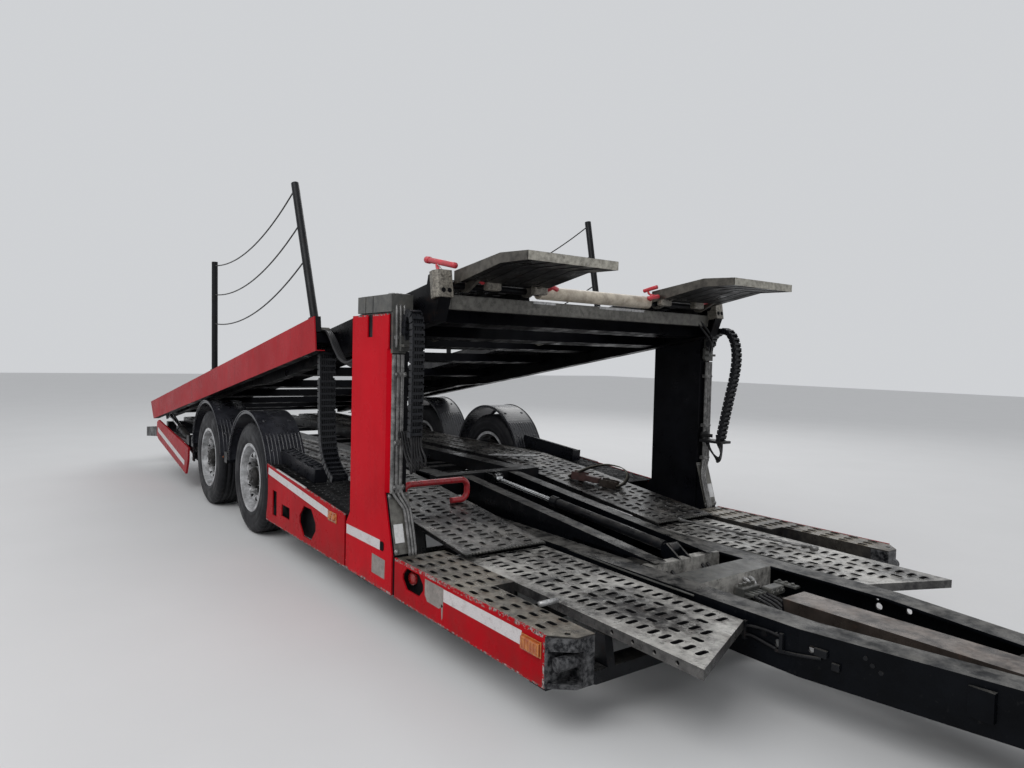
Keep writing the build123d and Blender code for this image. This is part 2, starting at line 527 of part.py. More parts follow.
save("lift_masts", both(mast + head + leg + pin))

# mudguards

def band(x, r0, r1, y0, y1, end_angle):
    """Part of a ring about a wheel, over its top, between two equal end angles."""
    def at(radius, angle):
        return (x + radius * cos(radians(angle)), TYRE_R + radius * sin(radians(angle)))
    edges = [ThreePointArc(at(r1, end_angle), at(r1, 90), at(r1, 180 - end_angle)),
             Line(at(r1, 180 - end_angle), at(r0, 180 - end_angle)),
             ThreePointArc(at(r0, 180 - end_angle), at(r0, 90), at(r0, end_angle)),
             Line(at(r0, end_angle), at(r1, end_angle))]
    plane = Plane(origin=(0, y1, 0), x_dir=(1, 0, 0), z_dir=(0, -1, 0))
    return extrude(plane * make_face(edges), amount=y1 - y0)


tab_z = TYRE_R + GUARD_R * sin(radians(GUARD_END))
guards = []
for axle_x, ahead_x, behind_x in ((AXLE_XS["front"], MEMBERS[0][0], MEMBERS[3][1]),
                                  (AXLE_XS["rear"], MEMBERS[3][0], MEMBERS[6][1])):
    guard = band(axle_x, GUARD_R - SHEET, GUARD_R, GUARD_Y0, GUARD_Y1, GUARD_END)
    guard += band(axle_x, GUARD_R - GUARD_LIP, GUARD_R, GUARD_Y1 - 5, GUARD_Y1, GUARD_END)
    guard += band(axle_x, GUARD_R - GUARD_LIP, GUARD_R, GUARD_Y0, GUARD_Y0 + 5, GUARD_END)
    reach = GUARD_R * cos(radians(GUARD_END)) - 8
    guard += box(axle_x + reach, ahead_x, 1080, 1180, tab_z, tab_z + 5)
    guard += box(behind_x, axle_x - reach, 1080, 1180, tab_z, tab_z + 5)
    guards += both(guard)
save("mudguards", guards)

# tail

tail_skirt = side_plate([(-2700, 160), (-2620, 300), (-2600, 436), (-4100, 590), (-4190, 560), (-4205, 400),
                         (-4086, 362)],
                        1255, HALF_W)
save("tail_skirts", both(tail_skirt))
tail_z = 508
beam = side_plate([(TAIL_X1, tail_z), (TAIL_X0, tail_z - TAIL_DROP),
                   (TAIL_X0, tail_z - TAIL_DROP - TAIL_BEAM_H),
                   (TAIL_X1, tail_z - TAIL_BEAM_H)], TAIL_Y0, TAIL_Y1)
beam += side_plate([(MEMBERS[7][0], MEMBER_Z0), (MEMBERS[7][0], 500), (TAIL_X1 - 60, 500),
                    (TAIL_X1 - 60, 450), (TAIL_X1, 450)], 1214, 1255)
low = tail_z - TAIL_DROP - TAIL_BEAM_H
tail_bar = beam + mirrored(beam) + box(TAIL_X0, TAIL_X0 + 90, -TAIL_Y0, TAIL_Y0, low + 10, low + 108)
save("tail_bar", tail_bar)
save("tail_lamps", both(box(TAIL_X0 - 12, TAIL_X0, 900, 1140, low + 24, low + 94)))
front_lamp = box(2979, 3100, HALF_W, HALF_W + 8, 309, 366)
rear_lamp = box(1038, 1180, HALF_W, HALF_W + 5, 428, 482)
save("side_lamps", both(front_lamp) + both(rear_lamp))

# wheel stop on the right track

stop_z0 = 504.5
route = FilletPolyline((STOP_X, STOP_Y0, stop_z0), (STOP_X, STOP_Y0, STOP_Z1), (STOP_X, STOP_Y1, STOP_Z1),
                       (STOP_X, STOP_Y1, stop_z0 + STOP_R), (STOP_X, STOP_Y1 - STOP_CURL, stop_z0 + STOP_R),
                       radius=48)
save("wheel_stop_bar", sweep(Plane(origin=(STOP_X, STOP_Y0, stop_z0), z_dir=(0, 0, 1)) * Circle(STOP_R),
                             path=route))

# drawbar: two channels open inwards, a tube between them, ties

BAR_W = RAIL_Y1 - RAIL_Y0


def channel_half(y_in, x_shift):
    """Outline in plan of a beam, or of the room inside it."""
    return [(BAR_X0 + x_shift, y_in), (BAR_KINK_X, y_in),
            (BAR_X1 - x_shift, TUBE_HALF + y_in - RAIL_Y0 - BAR_LAP)]


def beam_plan(y0, y1, x_shift):
    """Plan of a strip of a drawbar beam between two offsets from its inner edge."""
    return channel_half(y0, x_shift) + list(reversed(channel_half(y1, x_shift)))


beam = flat_plate(beam_plan(RAIL_Y0, RAIL_Y1, 0), BAR_Z0, BAR_Z1)
beam -= flat_plate(beam_plan(RAIL_Y0 - 1, RAIL_Y1 - BAR_WEB, BAR_FLANGE), BAR_Z0 + BAR_FLANGE,
                   BAR_Z1 - BAR_FLANGE)
for x, z, radius in BAR_HOLES:
    beam -= bar_y(x, z, RAIL_Y0, RAIL_Y1 + 1, radius)
drawbar = beam + mirrored(beam)
for x0, x1, z0 in TIES:
    tie = box(x0, x1, -RAIL_Y0 - 4, RAIL_Y0 + 4, z0, BAR_Z1)
    drawbar += tie - box(x0 + 8, x1 - 8, -RAIL_Y0 - 5, RAIL_Y0 + 5, z0 - 1, BAR_Z1 - 8)
pin_x, pin_z = RAM_PIN
ear = side_plate([(TIES[0][0], BAR_Z1 - 70), (pin_x - 34, pin_z - 30), (pin_x - 34, pin_z + 14),
                  (pin_x, pin_z + 34), (TIES[0][1], BAR_Z1)], RAM_EAR_Y0, RAM_EAR_Y1)
drawbar += ear + mirrored(ear) + bar_y(pin_x, pin_z, -RAM_EAR_Y1, RAM_EAR_Y1, RAM_PIN_R)
for x, half in CROSS_STRAPS:
    drawbar += box(x, x + 60, -half, half, STRAP_Z0, STRAP_Z0 + BAR_FLANGE)
tube = box(TUBE_X0, BAR_X1, -TUBE_HALF, TUBE_HALF, TUBE_Z0, TUBE_Z1)
drawbar += tube - box(TUBE_X0 - 1, BAR_X1 - 30, -TUBE_HALF + 10, TUBE_HALF - 10, TUBE_Z0 + 10, TUBE_Z1 - 10)
drawbar += box(JACK_X - 40, JACK_X + 40, -JACK_Y, JACK_Y, 270, 372)
drawbar += bar_y(JACK_X, JACK_PIN_Z, JACK_Y, JACK_Y + JACK_OFF + JACK_TUBE + 10, JACK_PIN_R)
save("drawbar", drawbar)

eye = Pos(EYE_X, 0, EYE_Z) * Cylinder(EYE_R, EYE_H)
eye += Pos(BAR_X1 + 90, 0, EYE_Z) * Rot(0, 90, 0) * Cylinder(24, 180)
eye += box(BAR_X1, BAR_X1 + 20, -60, 60, EYE_Z - 60, EYE_Z + 60)
eye += Pos(BAR_X1 + 20, 0, EYE_Z) * Rot(0, 90, 0) * Cone(50, 24, 50,
                                                         align=(Align.CENTER, Align.CENTER, Align.MIN))
eye -= Pos(EYE_X, 0, EYE_Z) * Cylinder(EYE_BORE_R, EYE_H + 2)
save("drawbar_eye", eye)

# jack leg: square tube, foot and a crank

y0 = JACK_Y + JACK_OFF
leg = box(JACK_X - JACK_TUBE / 2, JACK_X + JACK_TUBE / 2, y0, y0 + JACK_TUBE, 130, 470)
leg += bar_z(JACK_X, y0 + JACK_TUBE / 2, 12, 140, 22)
leg += flat_plate([(JACK_X - 80, y0 - 30), (JACK_X - 60, y0 - 50), (JACK_X + 60, y0 - 50),
                   (JACK_X + 80, y0 - 30),
                   (JACK_X + 80, y0 + 90), (JACK_X + 60, y0 + 110), (JACK_X - 60, y0 + 110),
                   (JACK_X - 80, y0 + 90)], 0, 12)
leg += rod_between((JACK_X, y0 + JACK_TUBE - 5, 440), (JACK_X, y0 + JACK_TUBE + 70, 440), 10)
leg += rod_between((JACK_X, y0 + JACK_TUBE + 62, 440), (JACK_X, y0 + JACK_TUBE + 62, 330), 8)
leg -= bar_y(JACK_X, JACK_PIN_Z, y0 - 1, y0 + JACK_TUBE + 1, JACK_PIN_R + RUN)
save("jack_leg", leg)


def along(start, end, distance):
    """Point at a distance from one point towards another in X and Z, at Y zero."""
    dx, dz = end[0] - start[0], end[1] - start[1]
    length = (dx ** 2 + dz ** 2) ** 0.5
    return (start[0] + dx * distance / length, 0, start[1] + dz * distance / length)


def ram(base, eye, radius, rod_radius, barrel_l, rod_x0):
    """Barrel with its gland and base eye, and rod with its end eye, on one line."""
    length = ((eye[0] - base[0]) ** 2 + (eye[1] - base[1]) ** 2) ** 0.5
    barrel = rod_between(along(base, eye, 48), along(base, eye, barrel_l), radius)
    barrel += rod_between(along(base, eye, 24), along(base, eye, 60), rod_radius)
    barrel += rod_between(along(base, eye, barrel_l - 60), along(base, eye, barrel_l), radius + 6)
    barrel += bar_y(base[0], base[1], -30, 30, RAM_PIN_R + 13)
    barrel -= rod_between(along(base, eye, 100), along(base, eye, barrel_l + 1), rod_radius + RUN)
    barrel -= bar_y(base[0], base[1], -31, 31, RAM_PIN_R + RUN)
    rod = rod_between(along(base, eye, rod_x0), along(base, eye, length - 20), rod_radius)
    rod += bar_y(eye[0], eye[1], -25, 25, RAM_PIN_R + 13)
    rod -= bar_y(eye[0], eye[1], -26, 26, RAM_PIN_R + 1)
    return barrel, rod


barrel, rod = ram(RAM_PIN, RAM_EYE, RAM_R, RAM_ROD_R, RAM_BARREL_L, RAM_BARREL_L - 250)
save("drawbar_ram_barrel", barrel)
save("drawbar_ram_rod", rod)

# upper deck frame

girder_face = make_face(Polyline(*GIRDER, close=True))
plane = Plane(origin=(0, GIRDER_Y1, 0), x_dir=(1, 0, 0), z_dir=(0, -1, 0))
girder = extrude(plane * girder_face, amount=GIRDER_Y1 - GIRDER_Y0)
room = offset(girder_face, amount=-GIRDER_WALL, kind=Kind.INTERSECTION)
room_plane = Plane(origin=(0, GIRDER_Y1 - GIRDER_WALL, 0), x_dir=(1, 0, 0), z_dir=(0, -1, 0))
girder -= extrude(room_plane * room, amount=GIRDER_Y1 - GIRDER_Y0)
girder += bar_y(0, 0, GIRDER_Y0, GIRDER_Y1, 2 * PIN_R)
girder -= bar_y(0, 0, GIRDER_Y0 - 1, GIRDER_Y1 + 1, PIN_R + RUN)
save("deck_girders", [on_deck(s) for s in both(girder)])


def hat(u, w0, w1, y0, y1):
    """Cross-member with sloping sides."""
    return side_plate([(u - 56, w0), (u - 40, w1), (u + 40, w1), (u + 56, w0)], y0, y1)


web_y = GIRDER_Y1 - GIRDER_WALL
deck_members = [hat(u, DECK_MEMBER_W0, DECK_MEMBER_W1, -web_y, web_y) for u in MEMBER_US]
deck_members += [hat(u, -125, -40, -web_y, web_y) for u in LOW_MEMBER_US]
for u in MEMBER_US:
    stub = hat(u, DECK_MEMBER_W0, DECK_MEMBER_W1, GIRDER_Y1, INNER_W)
    if u == MEMBER_US[1]:
        stub += side_plate([(u - 230, -60), (u - 190, -150), (u - 110, -150), (u - 40, -20), (u - 200, 0)],
                           DECK_RAM_Y + 42, DECK_RAM_Y + 54)
    deck_members += both(stub)
crossbar = box(CROSSBAR_X0, CROSSBAR_X1, -GIRDER_Y0, GIRDER_Y0, CROSSBAR_Z0, CROSSBAR_Z1)
save("deck_cross_members", [on_deck(s) for s in deck_members] + [crossbar])

# upper deck skin

panel_outline = [(U_REAR, PANEL_W1), (U_REAR + PANEL_RAKE, PANEL_W0), (U_FRONT, PANEL_W0),
                 (U_FRONT, PANEL_W1)]
panel = side_plate(panel_outline, INNER_W, HALF_W)
panel += box(U_REAR + PANEL_RAKE, U_FRONT, HALF_W - 60, HALF_W, PANEL_W0 - SHEET, PANEL_W0)
save("deck_side_panels", [on_deck(s) for s in both(panel)])

deck_line = [(250, DECK_TRACK_W), (-6200, DECK_TRACK_W)]
tracks = folded_track(deck_line, DECK_TRACK_Y0, DECK_TRACK_Y1, SHEET, DECK_TRACK_W - DECK_MEMBER_W1,
                      DECK_TRACK_W - DECK_MEMBER_W1)
walk = box(-6200, -918, GIRDER_Y1 + 4, INNER_W, DECK_MEMBER_W1, DECK_MEMBER_W1 + SHEET)
save("deck_tracks", [on_deck(s) for s in both(tracks) + both(walk)])

# front tips of the upper deck

save("tip_hinge_tube", bar_y(TIP_PIN_X, TIP_PIN_Z, -440, 440, TUBE_R)
     + bar_y(TIP_PIN_X, TIP_PIN_Z, -(GIRDER_Y0 - 0.3), GIRDER_Y0 - 0.3, SHAFT_R))

tip = side_plate(TIP_TOP + [(x, z - SHEET) for x, z in reversed(TIP_TOP)], TIP_Y0, TIP_Y1)
for y in (TIP_Y0, TIP_Y1 - SHEET):
    tip += side_plate(TIP_TOP + TIP_BOTTOM, y, y + SHEET)
tip += box(TIP_TOP[2][0] - SHEET, TIP_TOP[2][0], TIP_Y0, TIP_Y1, TIP_BOTTOM[0][1], TIP_TOP[2][1] - 1)
for y in (TIP_Y0 + 60, TIP_Y1 - 90):
    tip += side_plate(TIP_LUG, y, y + 20) + bar_y(TIP_PIN_X, TIP_PIN_Z, y, y + 20, LUG_R)
tip -= bar_y(TIP_PIN_X, TIP_PIN_Z, TIP_Y0 - 1, TIP_Y1 + 1, SHAFT_R + RUN)
save("deck_tip_left", tip)
save("deck_tip_right", mirrored(tip))

# handrail: posts in feet on the walkway, ropes that sag a little

walk_w = DECK_MEMBER_W1 + SHEET
poles, ropes = [], []
for side, feet in POLES.items():
    y = side * POLE_Y
    for u, lean in feet:
        foot = box(u - 34, u + 34, POLE_Y - 28, INNER_W, walk_w, PANEL_W1 + 12)
        foot = foot if side > 0 else mirrored(foot)
        poles.append(foot + rod_between((u, y, PANEL_W1), (u + lean, y, POLE_W1), POLE_R))
    for w in ROPE_WS:
        front_u, rear_u = (u + lean * (w - PANEL_W1) / (POLE_W1 - PANEL_W1) for u, lean in feet)
        start, end = (front_u - POLE_R - 1, y, w), (rear_u + POLE_R + 1, y, w)
        arc = ThreePointArc(start, ((front_u + rear_u) / 2, y, w - ROPE_SAG), end)
        ropes.append(sweep(Plane(origin=start, z_dir=arc % 0) * Circle(ROPE_R), path=arc))
save("handrail_posts", [on_deck(s) for s in poles])
save("handrail_ropes", [on_deck(s) for s in ropes])

# upper deck rams

barrel, rod = ram(DECK_RAM_BASE, DECK_RAM_EYE, DECK_RAM_R, DECK_RAM_ROD_R, DECK_RAM_BARREL_L, 200)
save("deck_ram_barrels", both(Pos(0, DECK_RAM_Y, 0) * barrel))
save("deck_ram_rods", both(Pos(0, DECK_RAM_Y, 0) * rod))
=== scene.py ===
import math
import bmesh
import bpy
from mathutils import Matrix, Vector


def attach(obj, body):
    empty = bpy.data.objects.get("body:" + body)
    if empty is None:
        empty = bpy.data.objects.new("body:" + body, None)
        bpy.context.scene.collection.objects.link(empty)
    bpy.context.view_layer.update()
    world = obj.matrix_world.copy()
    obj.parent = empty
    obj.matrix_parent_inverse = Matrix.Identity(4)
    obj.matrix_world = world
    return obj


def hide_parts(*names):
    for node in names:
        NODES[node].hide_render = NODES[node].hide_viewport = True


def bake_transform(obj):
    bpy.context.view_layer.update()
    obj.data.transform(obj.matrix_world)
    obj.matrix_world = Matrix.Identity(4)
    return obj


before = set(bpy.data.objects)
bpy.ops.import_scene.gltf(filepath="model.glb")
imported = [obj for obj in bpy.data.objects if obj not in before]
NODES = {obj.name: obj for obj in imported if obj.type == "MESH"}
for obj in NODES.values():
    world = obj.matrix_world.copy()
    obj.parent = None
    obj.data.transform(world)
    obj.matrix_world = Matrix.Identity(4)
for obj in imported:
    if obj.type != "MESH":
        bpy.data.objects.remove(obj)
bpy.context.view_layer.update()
SCENE = bpy.context.scene

# camera: the photograph's place and angle (metres and degrees)
CAM_PLACE = (5.1637, -2.9534, 1.4264)
CAM_YAW, CAM_PITCH, CAM_ROLL = 53.748, 2.145, -1.368
CAM_LENS = 25.501

yaw, pitch, roll = (math.radians(v) for v in (CAM_YAW, CAM_PITCH, CAM_ROLL))
fwd = Vector((-math.sin(yaw) * math.cos(pitch), math.cos(yaw) * math.cos(pitch), -math.sin(pitch)))
right = fwd.cross(Vector((0, 0, 1))).normalized()
down = fwd.cross(right)
right, down = math.cos(roll) * right + math.sin(roll) * down, -math.sin(roll) * right + math.cos(roll) * down
cam = bpy.data.objects.new("camera", bpy.data.cameras.new("camera"))
SCENE.collection.objects.link(cam)
cam.data.lens = CAM_LENS
cam.data.sensor_width = 36
cam.data.clip_start = 0.05
cam.data.clip_end = 200
cam.matrix_world = Matrix((right, -down, -fwd)).transposed().to_4x4()
cam.location = CAM_PLACE
SCENE.camera = cam
SCENE.view_settings.view_transform = "Standard"


# node helpers
class Mat:
    """A principled material built up node by node."""

    def __init__(self, name, metallic=0.0, rough=0.5, coat=0.0, spec=0.5):
        self.m = bpy.data.materials.new(name)
        self.m.use_nodes = True
        self.t = self.m.node_tree
        self.p = self.t.nodes["Principled BSDF"]
        for key, value in (("Metallic", metallic), ("Roughness", rough), ("Coat Weight", coat),
                           ("Coat Roughness", 0.12), ("Specular IOR Level", spec)):
            self.p.inputs[key].default_value = value
        self.co = self.t.nodes.new("ShaderNodeTexCoord").outputs["Object"]
        self.geo = self.t.nodes.new("ShaderNodeNewGeometry")

    def node(self, kind, **inputs):
        n = self.t.nodes.new(kind)
        for k, v in inputs.items():
            self.put(n.inputs[k.replace("_", " ")], v)
        return n

    def put(self, socket, v):
        if isinstance(v, bpy.types.NodeSocket):
            self.t.links.new(v, socket)
        elif isinstance(v, tuple) and len(v) == 3 and socket.type == "RGBA":
            socket.default_value = (*v, 1)
        else:
            socket.default_value = v

    def scaled(self, x, y, z):
        return self.node("ShaderNodeMapping", Vector=self.co, Scale=(x, y, z)).outputs[0]

    def noise(self, scale, detail=4, rough=0.55, vec=None):
        n = self.node("ShaderNodeTexNoise", Vector=vec or self.co, Scale=scale, Detail=detail,
                      Roughness=rough)
        return n.outputs["Fac"]

    def ramp(self, fac, *stops):
        n = self.node("ShaderNodeValToRGB", Fac=fac)
        for e, (pos, col) in zip(n.color_ramp.elements, stops):
            e.position = pos
            e.color = (*col, 1) if isinstance(col, tuple) else (col, col, col, 1)
        return n.outputs["Color"]

    def mask(self, lo, hi, *noise):
        """Noise that is black below lo and white above hi."""
        return self.ramp(self.noise(*noise), (lo, 0.0), (hi, 1.0))

    def math(self, op, a, b=0.0, clamp=True):
        n = self.t.nodes.new("ShaderNodeMath")
        n.operation = op
        n.use_clamp = clamp
        self.put(n.inputs[0], a)
        self.put(n.inputs[1], b)
        return n.outputs[0]

    def times(self, a, b):
        return self.math("MULTIPLY", a, b)

    def add(self, a, b):
        return self.math("ADD", a, b, False)

    def mix(self, fac, a, b):
        n = self.t.nodes.new("ShaderNodeMix")
        n.data_type = "RGBA"
        for k, v in ((0, fac), (6, a), (7, b)):
            self.put(n.inputs[k], v)
        return n.outputs[2]

    def axis(self, which):
        return self.node("ShaderNodeSeparateXYZ", Vector=self.co).outputs[which]

    def up(self, lo=0.35, hi=0.9):
        z = self.node("ShaderNodeSeparateXYZ", Vector=self.geo.outputs["Normal"]).outputs["Z"]
        return self.span(z, lo, hi)

    def span(self, v, lo, hi):
        return self.node("ShaderNodeMapRange", Value=v, From_Min=lo, From_Max=hi).outputs["Result"]

    def bump(self, height, strength, distance):
        n = self.node("ShaderNodeBump", Height=height, Strength=strength, Distance=distance)
        self.put(self.p.inputs["Normal"], n.outputs["Normal"])

    def done(self, color, rough):
        self.put(self.p.inputs["Base Color"], color)
        self.put(self.p.inputs["Roughness"], rough)
        return self.m


def red_paint(name, worn=None, streak=0.5, low=(0.42, 0.0015, 0.008), high=(0.52, 0.004, 0.013), painted_reflection=0.0):
    """Gloss red: rain streaks, road film near the ground, small chips, worn edges where worn(m) says, and,
    where the last argument is given, pale clouds of painted reflection.
    """
    m = Mat(name, rough=0.34, spec=0.03)
    tone = m.ramp(m.noise(2.2, 5, 0.6), (0.3, low), (0.7, high))
    if painted_reflection:
        # painted reflection: pale pink clouds laid over the red, as strong as the last argument says
        reflection_cloud = m.ramp(m.noise(1.4, 4, 0.6), (0.35, 0.3), (0.7, 1.0))
        tone = m.mix(m.times(reflection_cloud, painted_reflection), tone, (0.36, 0.15, 0.17))
    streaks = m.mask(0.48, 0.72, 14, 4, 0.6, m.scaled(1, 1, 0.07))
    tone = m.mix(m.times(streaks, 0.34 * streak), tone, (0.15, 0.01, 0.012))
    film = m.times(m.span(m.axis("Z"), 0.42, 0.18), m.mask(0.4, 0.7, 7, 6, 0.7))
    tone = m.mix(m.times(film, 0.5), tone, (0.10, 0.032, 0.028))
    edge = m.mask(0.735, 0.745, 34, 7, 0.72)
    if worn:
        edge = m.math("MAXIMUM", edge, m.times(worn(m), m.mask(0.5, 0.52, 52, 7, 0.72)))
    tone = m.mix(edge, tone, m.ramp(m.noise(90), (0.4, (0.36, 0.31, 0.3)), (0.6, (0.09, 0.07, 0.065))))
    m.bump(m.add(m.noise(260, 2), m.math("MULTIPLY", edge, -1.5, False)), 0.12, 0.0006)
    return m.done(tone, m.mix(edge, m.ramp(m.noise(9, 5, 0.6), (0.3, 0.22), (0.75, 0.42)), (0.7, 0.7, 0.7)))


def skirt_edges(m):
    """Top edge and front end of the front skirt, sloping top and foot of the rear one."""
    x, z = m.axis("X"), m.axis("Z")
    slope = m.add(z, m.math("MULTIPLY", x, 0.0753, False))
    top = m.times(m.math("GREATER_THAN", x, 1.9), m.math("GREATER_THAN", z, 0.388))
    rear = m.times(m.math("LESS_THAN", x, 1.3), m.math("GREATER_THAN", slope, 0.595))
    return m.math("MAXIMUM", m.math("MAXIMUM", top, m.math("GREATER_THAN", x, 3.108)),
                  m.math("MAXIMUM", rear, m.math("LESS_THAN", z, 0.207)))


def cover_edges(m):
    """Cut edges of the post covers."""
    z = m.axis("Z")
    return m.math("MAXIMUM", m.math("GREATER_THAN", z, 1.624), m.math("LESS_THAN", z, 0.212))


def scaled_tone(colour, by):
    return tuple(min(1, c * by) for c in colour)


def dark_steel(name, base, dirt=(0.05, 0.047, 0.043), cover=0.6, gloss=0.24, rust=0.0, metal=0.1,
               spots=0.25, spec=0.3):
    """Black painted steel, wet and greasy, with pale road dirt on what faces up."""
    m = Mat(name, metallic=metal, rough=0.3, spec=spec)
    fine = m.noise(38, 6, 0.7)
    tone = m.ramp(m.noise(5.5, 8, 0.65), (0.3, scaled_tone(base, 0.55)), (0.75, scaled_tone(base, 1.9)))
    worn = m.times(m.up(), m.mask(0.38, 0.6, 11, 8, 0.68))
    tone = m.mix(m.times(worn, cover), tone, m.mix(fine, dirt, scaled_tone(dirt, 2.4)))
    tone = m.mix(m.times(m.ramp(fine, (0.62, 0.0), (0.72, 1.0)), spots), tone, scaled_tone(dirt, 1.9))
    if rust:
        red = m.ramp(m.noise(80), (0.35, (0.07, 0.026, 0.013)), (0.7, (0.15, 0.08, 0.05)))
        tone = m.mix(m.times(m.mask(0.56, 0.66, 16, 8, 0.75), rust), tone, red)
    m.bump(m.add(m.noise(140, 5, 0.7), m.math("MULTIPLY", fine, 0.5, False)), 0.35, 0.0012)
    return m.done(tone, m.ramp(m.noise(8, 6, 0.65), (0.3, gloss * 0.6), (0.72, gloss * 2.6)))


def track_steel(name, light, dark, balance=0.5, brown=0.3, metal=0.3, side=0.65):
    """Perforated plate: bright where it is driven on, dirty between, brown stains, wet, and faces that do not
    face up darkened towards black by side as painted shade.
    """
    m = Mat(name, metallic=metal, rough=0.35, spec=0.4)
    fine = m.noise(26, 8, 0.72)
    blend = m.ramp(m.math("ADD", m.times(m.noise(3.4, 7, 0.62), 0.55), m.times(fine, 0.45)),
                   (balance - 0.07, 0.0), (balance + 0.1, 1.0))
    tone = m.mix(blend, dark, light)
    tone = m.mix(m.times(m.mask(0.5, 0.66, 9, 8, 0.7), brown), tone, (0.09, 0.06, 0.04))
    tone = m.mix(m.times(m.mask(0.63, 0.7, 120, 4, 0.7), 0.4), tone, scaled_tone(light, 1.7))
    # painted shade: faces that do not face up are darkened towards near black, as much as side says
    tone = m.mix(m.up(0.0, 0.7), m.mix(side, tone, (0.012, 0.012, 0.014)), tone)
    m.bump(m.add(m.noise(180, 5, 0.7), fine), 0.45, 0.0014)
    return m.done(tone, m.ramp(m.noise(12, 6, 0.6), (0.32, 0.18), (0.7, 0.55)))


def plain_wear(name, base, dirt, rough=0.45, metallic=0.0, scale=18, bump=0.25, amount=0.6,
               coat=0.0, spec=0.5):
    """One colour with stains, specks and a fine surface."""
    m = Mat(name, metallic, rough, coat, spec)
    clean = m.ramp(m.noise(scale * 0.3, 4), (0.3, scaled_tone(base, 0.8)), (0.7, scaled_tone(base, 1.15)))
    tone = m.mix(m.times(m.mask(0.42, 0.64, scale, 8, 0.7), amount), clean, dirt)
    m.bump(m.noise(scale * 9, 4, 0.6), bump, 0.001)
    return m.done(tone, m.ramp(m.noise(scale * 0.6, 5), (0.3, rough * 0.7), (0.7, min(1, rough * 1.35))))


def tyre_rubber(name):
    """Dark rubber, wet tread, grey dust on the walls."""
    m = Mat(name, rough=0.6, spec=0.2)
    tone = m.ramp(m.noise(20, 8, 0.7), (0.3, (0.0055, 0.0058, 0.007)), (0.75, (0.014, 0.0145, 0.017)))
    tone = m.mix(m.times(m.mask(0.42, 0.66, 6, 6, 0.6), 0.35), tone, (0.032, 0.03, 0.033))
    m.bump(m.noise(220, 4, 0.6), 0.3, 0.001)
    return m.done(tone, m.ramp(m.noise(10), (0.3, 0.35), (0.7, 0.7)))


# wheels: middles of the two axles, of a wheel's width on the left, and of its height
WHEELS = {"front": -0.609, "rear": -1.889}
WHEEL_Y, WHEEL_Z = 1.132, 0.433


def dusty_rim(name):
    """Silver wheel paint: brake dust and road film thickening towards the middle, scoured at the flange."""
    m = Mat(name, metallic=0.3, rough=0.42)
    tone = m.ramp(m.noise(9, 6, 0.65), (0.3, (0.4, 0.405, 0.415)), (0.7, (0.74, 0.745, 0.755)))
    between = -(WHEELS["front"] + WHEELS["rear"]) / 2
    apart = (WHEELS["front"] - WHEELS["rear"]) / 2
    x = m.math("SUBTRACT", m.math("ABSOLUTE", m.add(m.axis("X"), between), 0, False), apart, False)
    z = m.math("SUBTRACT", m.axis("Z"), WHEEL_Z, False)
    squares = m.add(m.math("MULTIPLY", x, x, False), m.math("MULTIPLY", z, z, False))
    ragged = m.add(m.math("SQRT", squares, 0, False), m.math("MULTIPLY", m.noise(9, 5, 0.7), 0.08, False))
    inward = m.span(ragged, 0.3, 0.16)
    dust = m.ramp(m.noise(14, 8, 0.7), (0.4, 0.12), (0.58, 1.0))
    film = m.times(dust, m.math("ADD", m.times(inward, 0.5), 0.48))
    tone = m.mix(film, tone, m.ramp(m.noise(40, 5), (0.3, (0.02, 0.019, 0.018)), (0.7, (0.085, 0.08, 0.075))))
    m.bump(m.noise(150, 4, 0.6), 0.3, 0.001)
    return m.done(tone, m.ramp(m.noise(12, 5), (0.3, 0.3), (0.7, 0.6)))


def stripe_white(name):
    """Retro-reflective tape: pale, honeycombed, scuffed, a little dirty."""
    m = Mat(name, rough=0.3, coat=0.2)
    cells = m.node("ShaderNodeTexVoronoi", Vector=m.co, Scale=160)
    cells.feature = "DISTANCE_TO_EDGE"
    comb = cells.outputs["Distance"]
    tone = m.mix(m.ramp(comb, (0.0, 1.0), (0.12, 0.0)), (0.6, 0.57, 0.57), (0.45, 0.43, 0.43))
    tone = m.mix(m.times(m.mask(0.52, 0.68, 22, 8, 0.72), 0.5), tone, (0.26, 0.21, 0.2))
    m.bump(comb, 0.1, 0.0004)
    return m.done(tone, 0.32)


def lens(name, color, glow):
    """Moulded lamp lens with fine ribs and a brighter core."""
    m = Mat(name, rough=0.16, coat=0.5)
    ribs = m.node("ShaderNodeTexWave", Vector=m.co, Scale=70.0).outputs["Fac"]
    blot = m.ramp(m.noise(40, 5), (0.35, color), (0.7, glow))
    m.bump(m.add(ribs, m.noise(90)), 0.5, 0.001)
    return m.done(m.mix(ribs, scaled_tone(color, 0.6), blot), 0.16)


def webbing(name, low, high):
    """Woven strap, grey and oily."""
    m = Mat(name, rough=0.8)
    weave = m.node("ShaderNodeTexWave", Vector=m.co, Scale=190.0, Distortion=0.4).outputs["Fac"]
    tone = m.mix(m.times(m.mask(0.4, 0.65, 25, 6), 0.5), m.mix(weave, low, high), (0.05, 0.042, 0.036))
    m.bump(weave, 0.5, 0.0008)
    return m.done(tone, 0.8)


